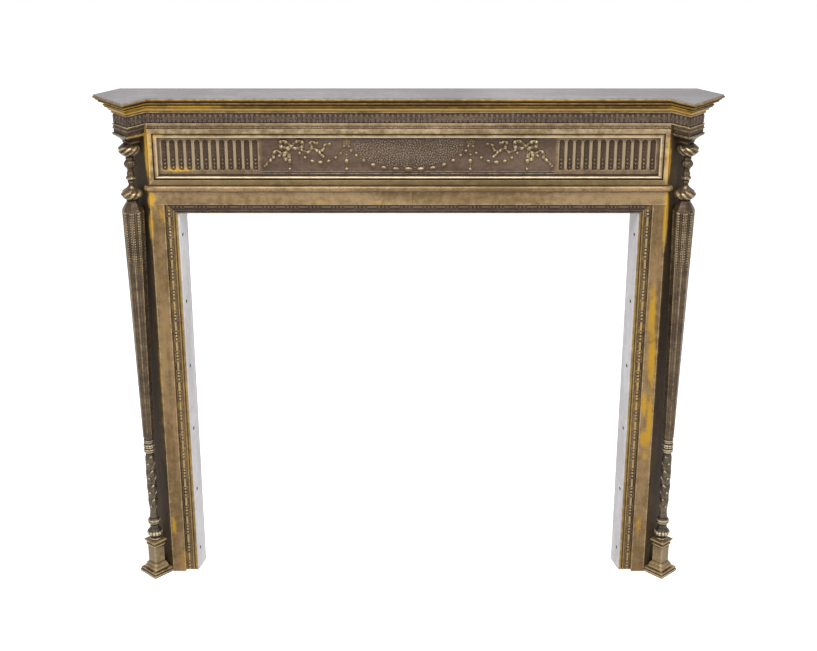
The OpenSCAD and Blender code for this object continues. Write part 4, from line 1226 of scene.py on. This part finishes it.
# ---------------------------------------------------------------- stage

# The camera stands in front of the middle and looks down, as far off as the view was taken from.
CAMERA_BACK = 3.6700
CAMERA_UP = 2.2272
CAMERA_TILT = 23.37
LENS = 74.16


def make_camera():
    data = bpy.data.cameras.new("camera")
    data.lens = LENS
    data.sensor_width = 36
    camera = added("camera", data)
    camera.location = (0, WALL_Y - CAMERA_BACK, CAMERA_UP)
    camera.rotation_euler = (math.radians(90 - CAMERA_TILT), 0, 0)
    bpy.context.scene.camera = camera


def backdrop_rays(tree):
    """1 for the rays that show the pale backdrop: straight, reflected or through."""
    rays = linked(tree, "LightPath").outputs
    mirrored_or_straight = maths(tree, "MAXIMUM", rays["Is Camera Ray"], rays["Is Glossy Ray"])
    return maths(tree, "MAXIMUM", mirrored_or_straight, rays["Is Transmission Ray"])


def pale_material(name, value, shown):
    """A plain floor colour that shows as a pale backdrop to the camera and in reflections."""
    material = bpy.data.materials.new(name)
    material.use_nodes = True
    tree = material.node_tree
    fed(tree, tree.nodes["Principled BSDF"], {
        "Base Color": (value, value, value, 1), "Roughness": 0.9, "Emission Color": (1, 1, 1, 1),
        "Emission Strength": maths(tree, "MULTIPLY", backdrop_rays(tree), shown)})
    return material


def make_stage():
    mesh = bpy.data.meshes.new("floor")
    reach = 6.0
    mesh.from_pydata([(-reach, -reach, 0), (reach, -reach, 0), (reach, reach, 0), (-reach, reach, 0)], [],
                     [(0, 1, 2, 3)])
    mesh.materials.append(pale_material("pale_floor", 0.8, 0.74))
    added("floor", mesh)

    world = bpy.data.worlds.new("studio")
    bpy.context.scene.world = world
    world.use_nodes = True
    tree = world.node_tree
    shown = mixed(tree, backdrop_rays(tree), (0.34, 0.34, 0.35), (1, 1, 1))
    fed(tree, tree.nodes["Background"], {"Color": shown, "Strength": 1.0})


def soft_lamp(name, place, aim, size, power):
    data = bpy.data.lights.new(name, "AREA")
    data.shape = "RECTANGLE"
    data.size, data.size_y = size
    data.energy = power
    lamp = added(name, data)
    lamp.location = place
    lamp.rotation_euler = (Vector(aim) - Vector(place)).to_track_quat("-Z", "Y").to_euler()


def make_lamps():
    soft_lamp("overhead", (0.0, -1.3, 3.3), (0, 0, 0.7), (2.8, 1.0), 92)
    soft_lamp("front_left", (-2.4, -3.0, 2.0), (0, 0, 0.6), (1.2, 1.6), 35)
    soft_lamp("front_right", (2.4, -3.0, 2.0), (0, 0, 0.6), (1.2, 1.6), 30)


def dress_cad_nodes():
    for name in ("shelf_sheet", "return_plate_left", "return_plate_right", "return_plate_top"):
        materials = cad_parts[name].data.materials
        materials.clear()
        materials.append(METALS["grey_sheet" if name == "shelf_sheet" else "pale_plate"])


make_camera()
make_stage()
make_lamps()
dress_cad_nodes()
make_shelf()
make_cornice()
make_leaf_band()
for run in ("left", "middle", "right"):
    make_frame_run("frame_top_" + run, 1)
    make_frame_run("frame_bottom_" + run, -1)
make_frame_side()
make_fluted_panels()
make_swag_panel()
make_torus()
make_lintel()
make_leg_faces()
make_strips()
make_canted_panels()
make_corner_blocks()
make_balusters()
make_shafts()
make_column_feet()
make_pedestals()

bpy.context.scene.view_settings.view_transform = "Standard"
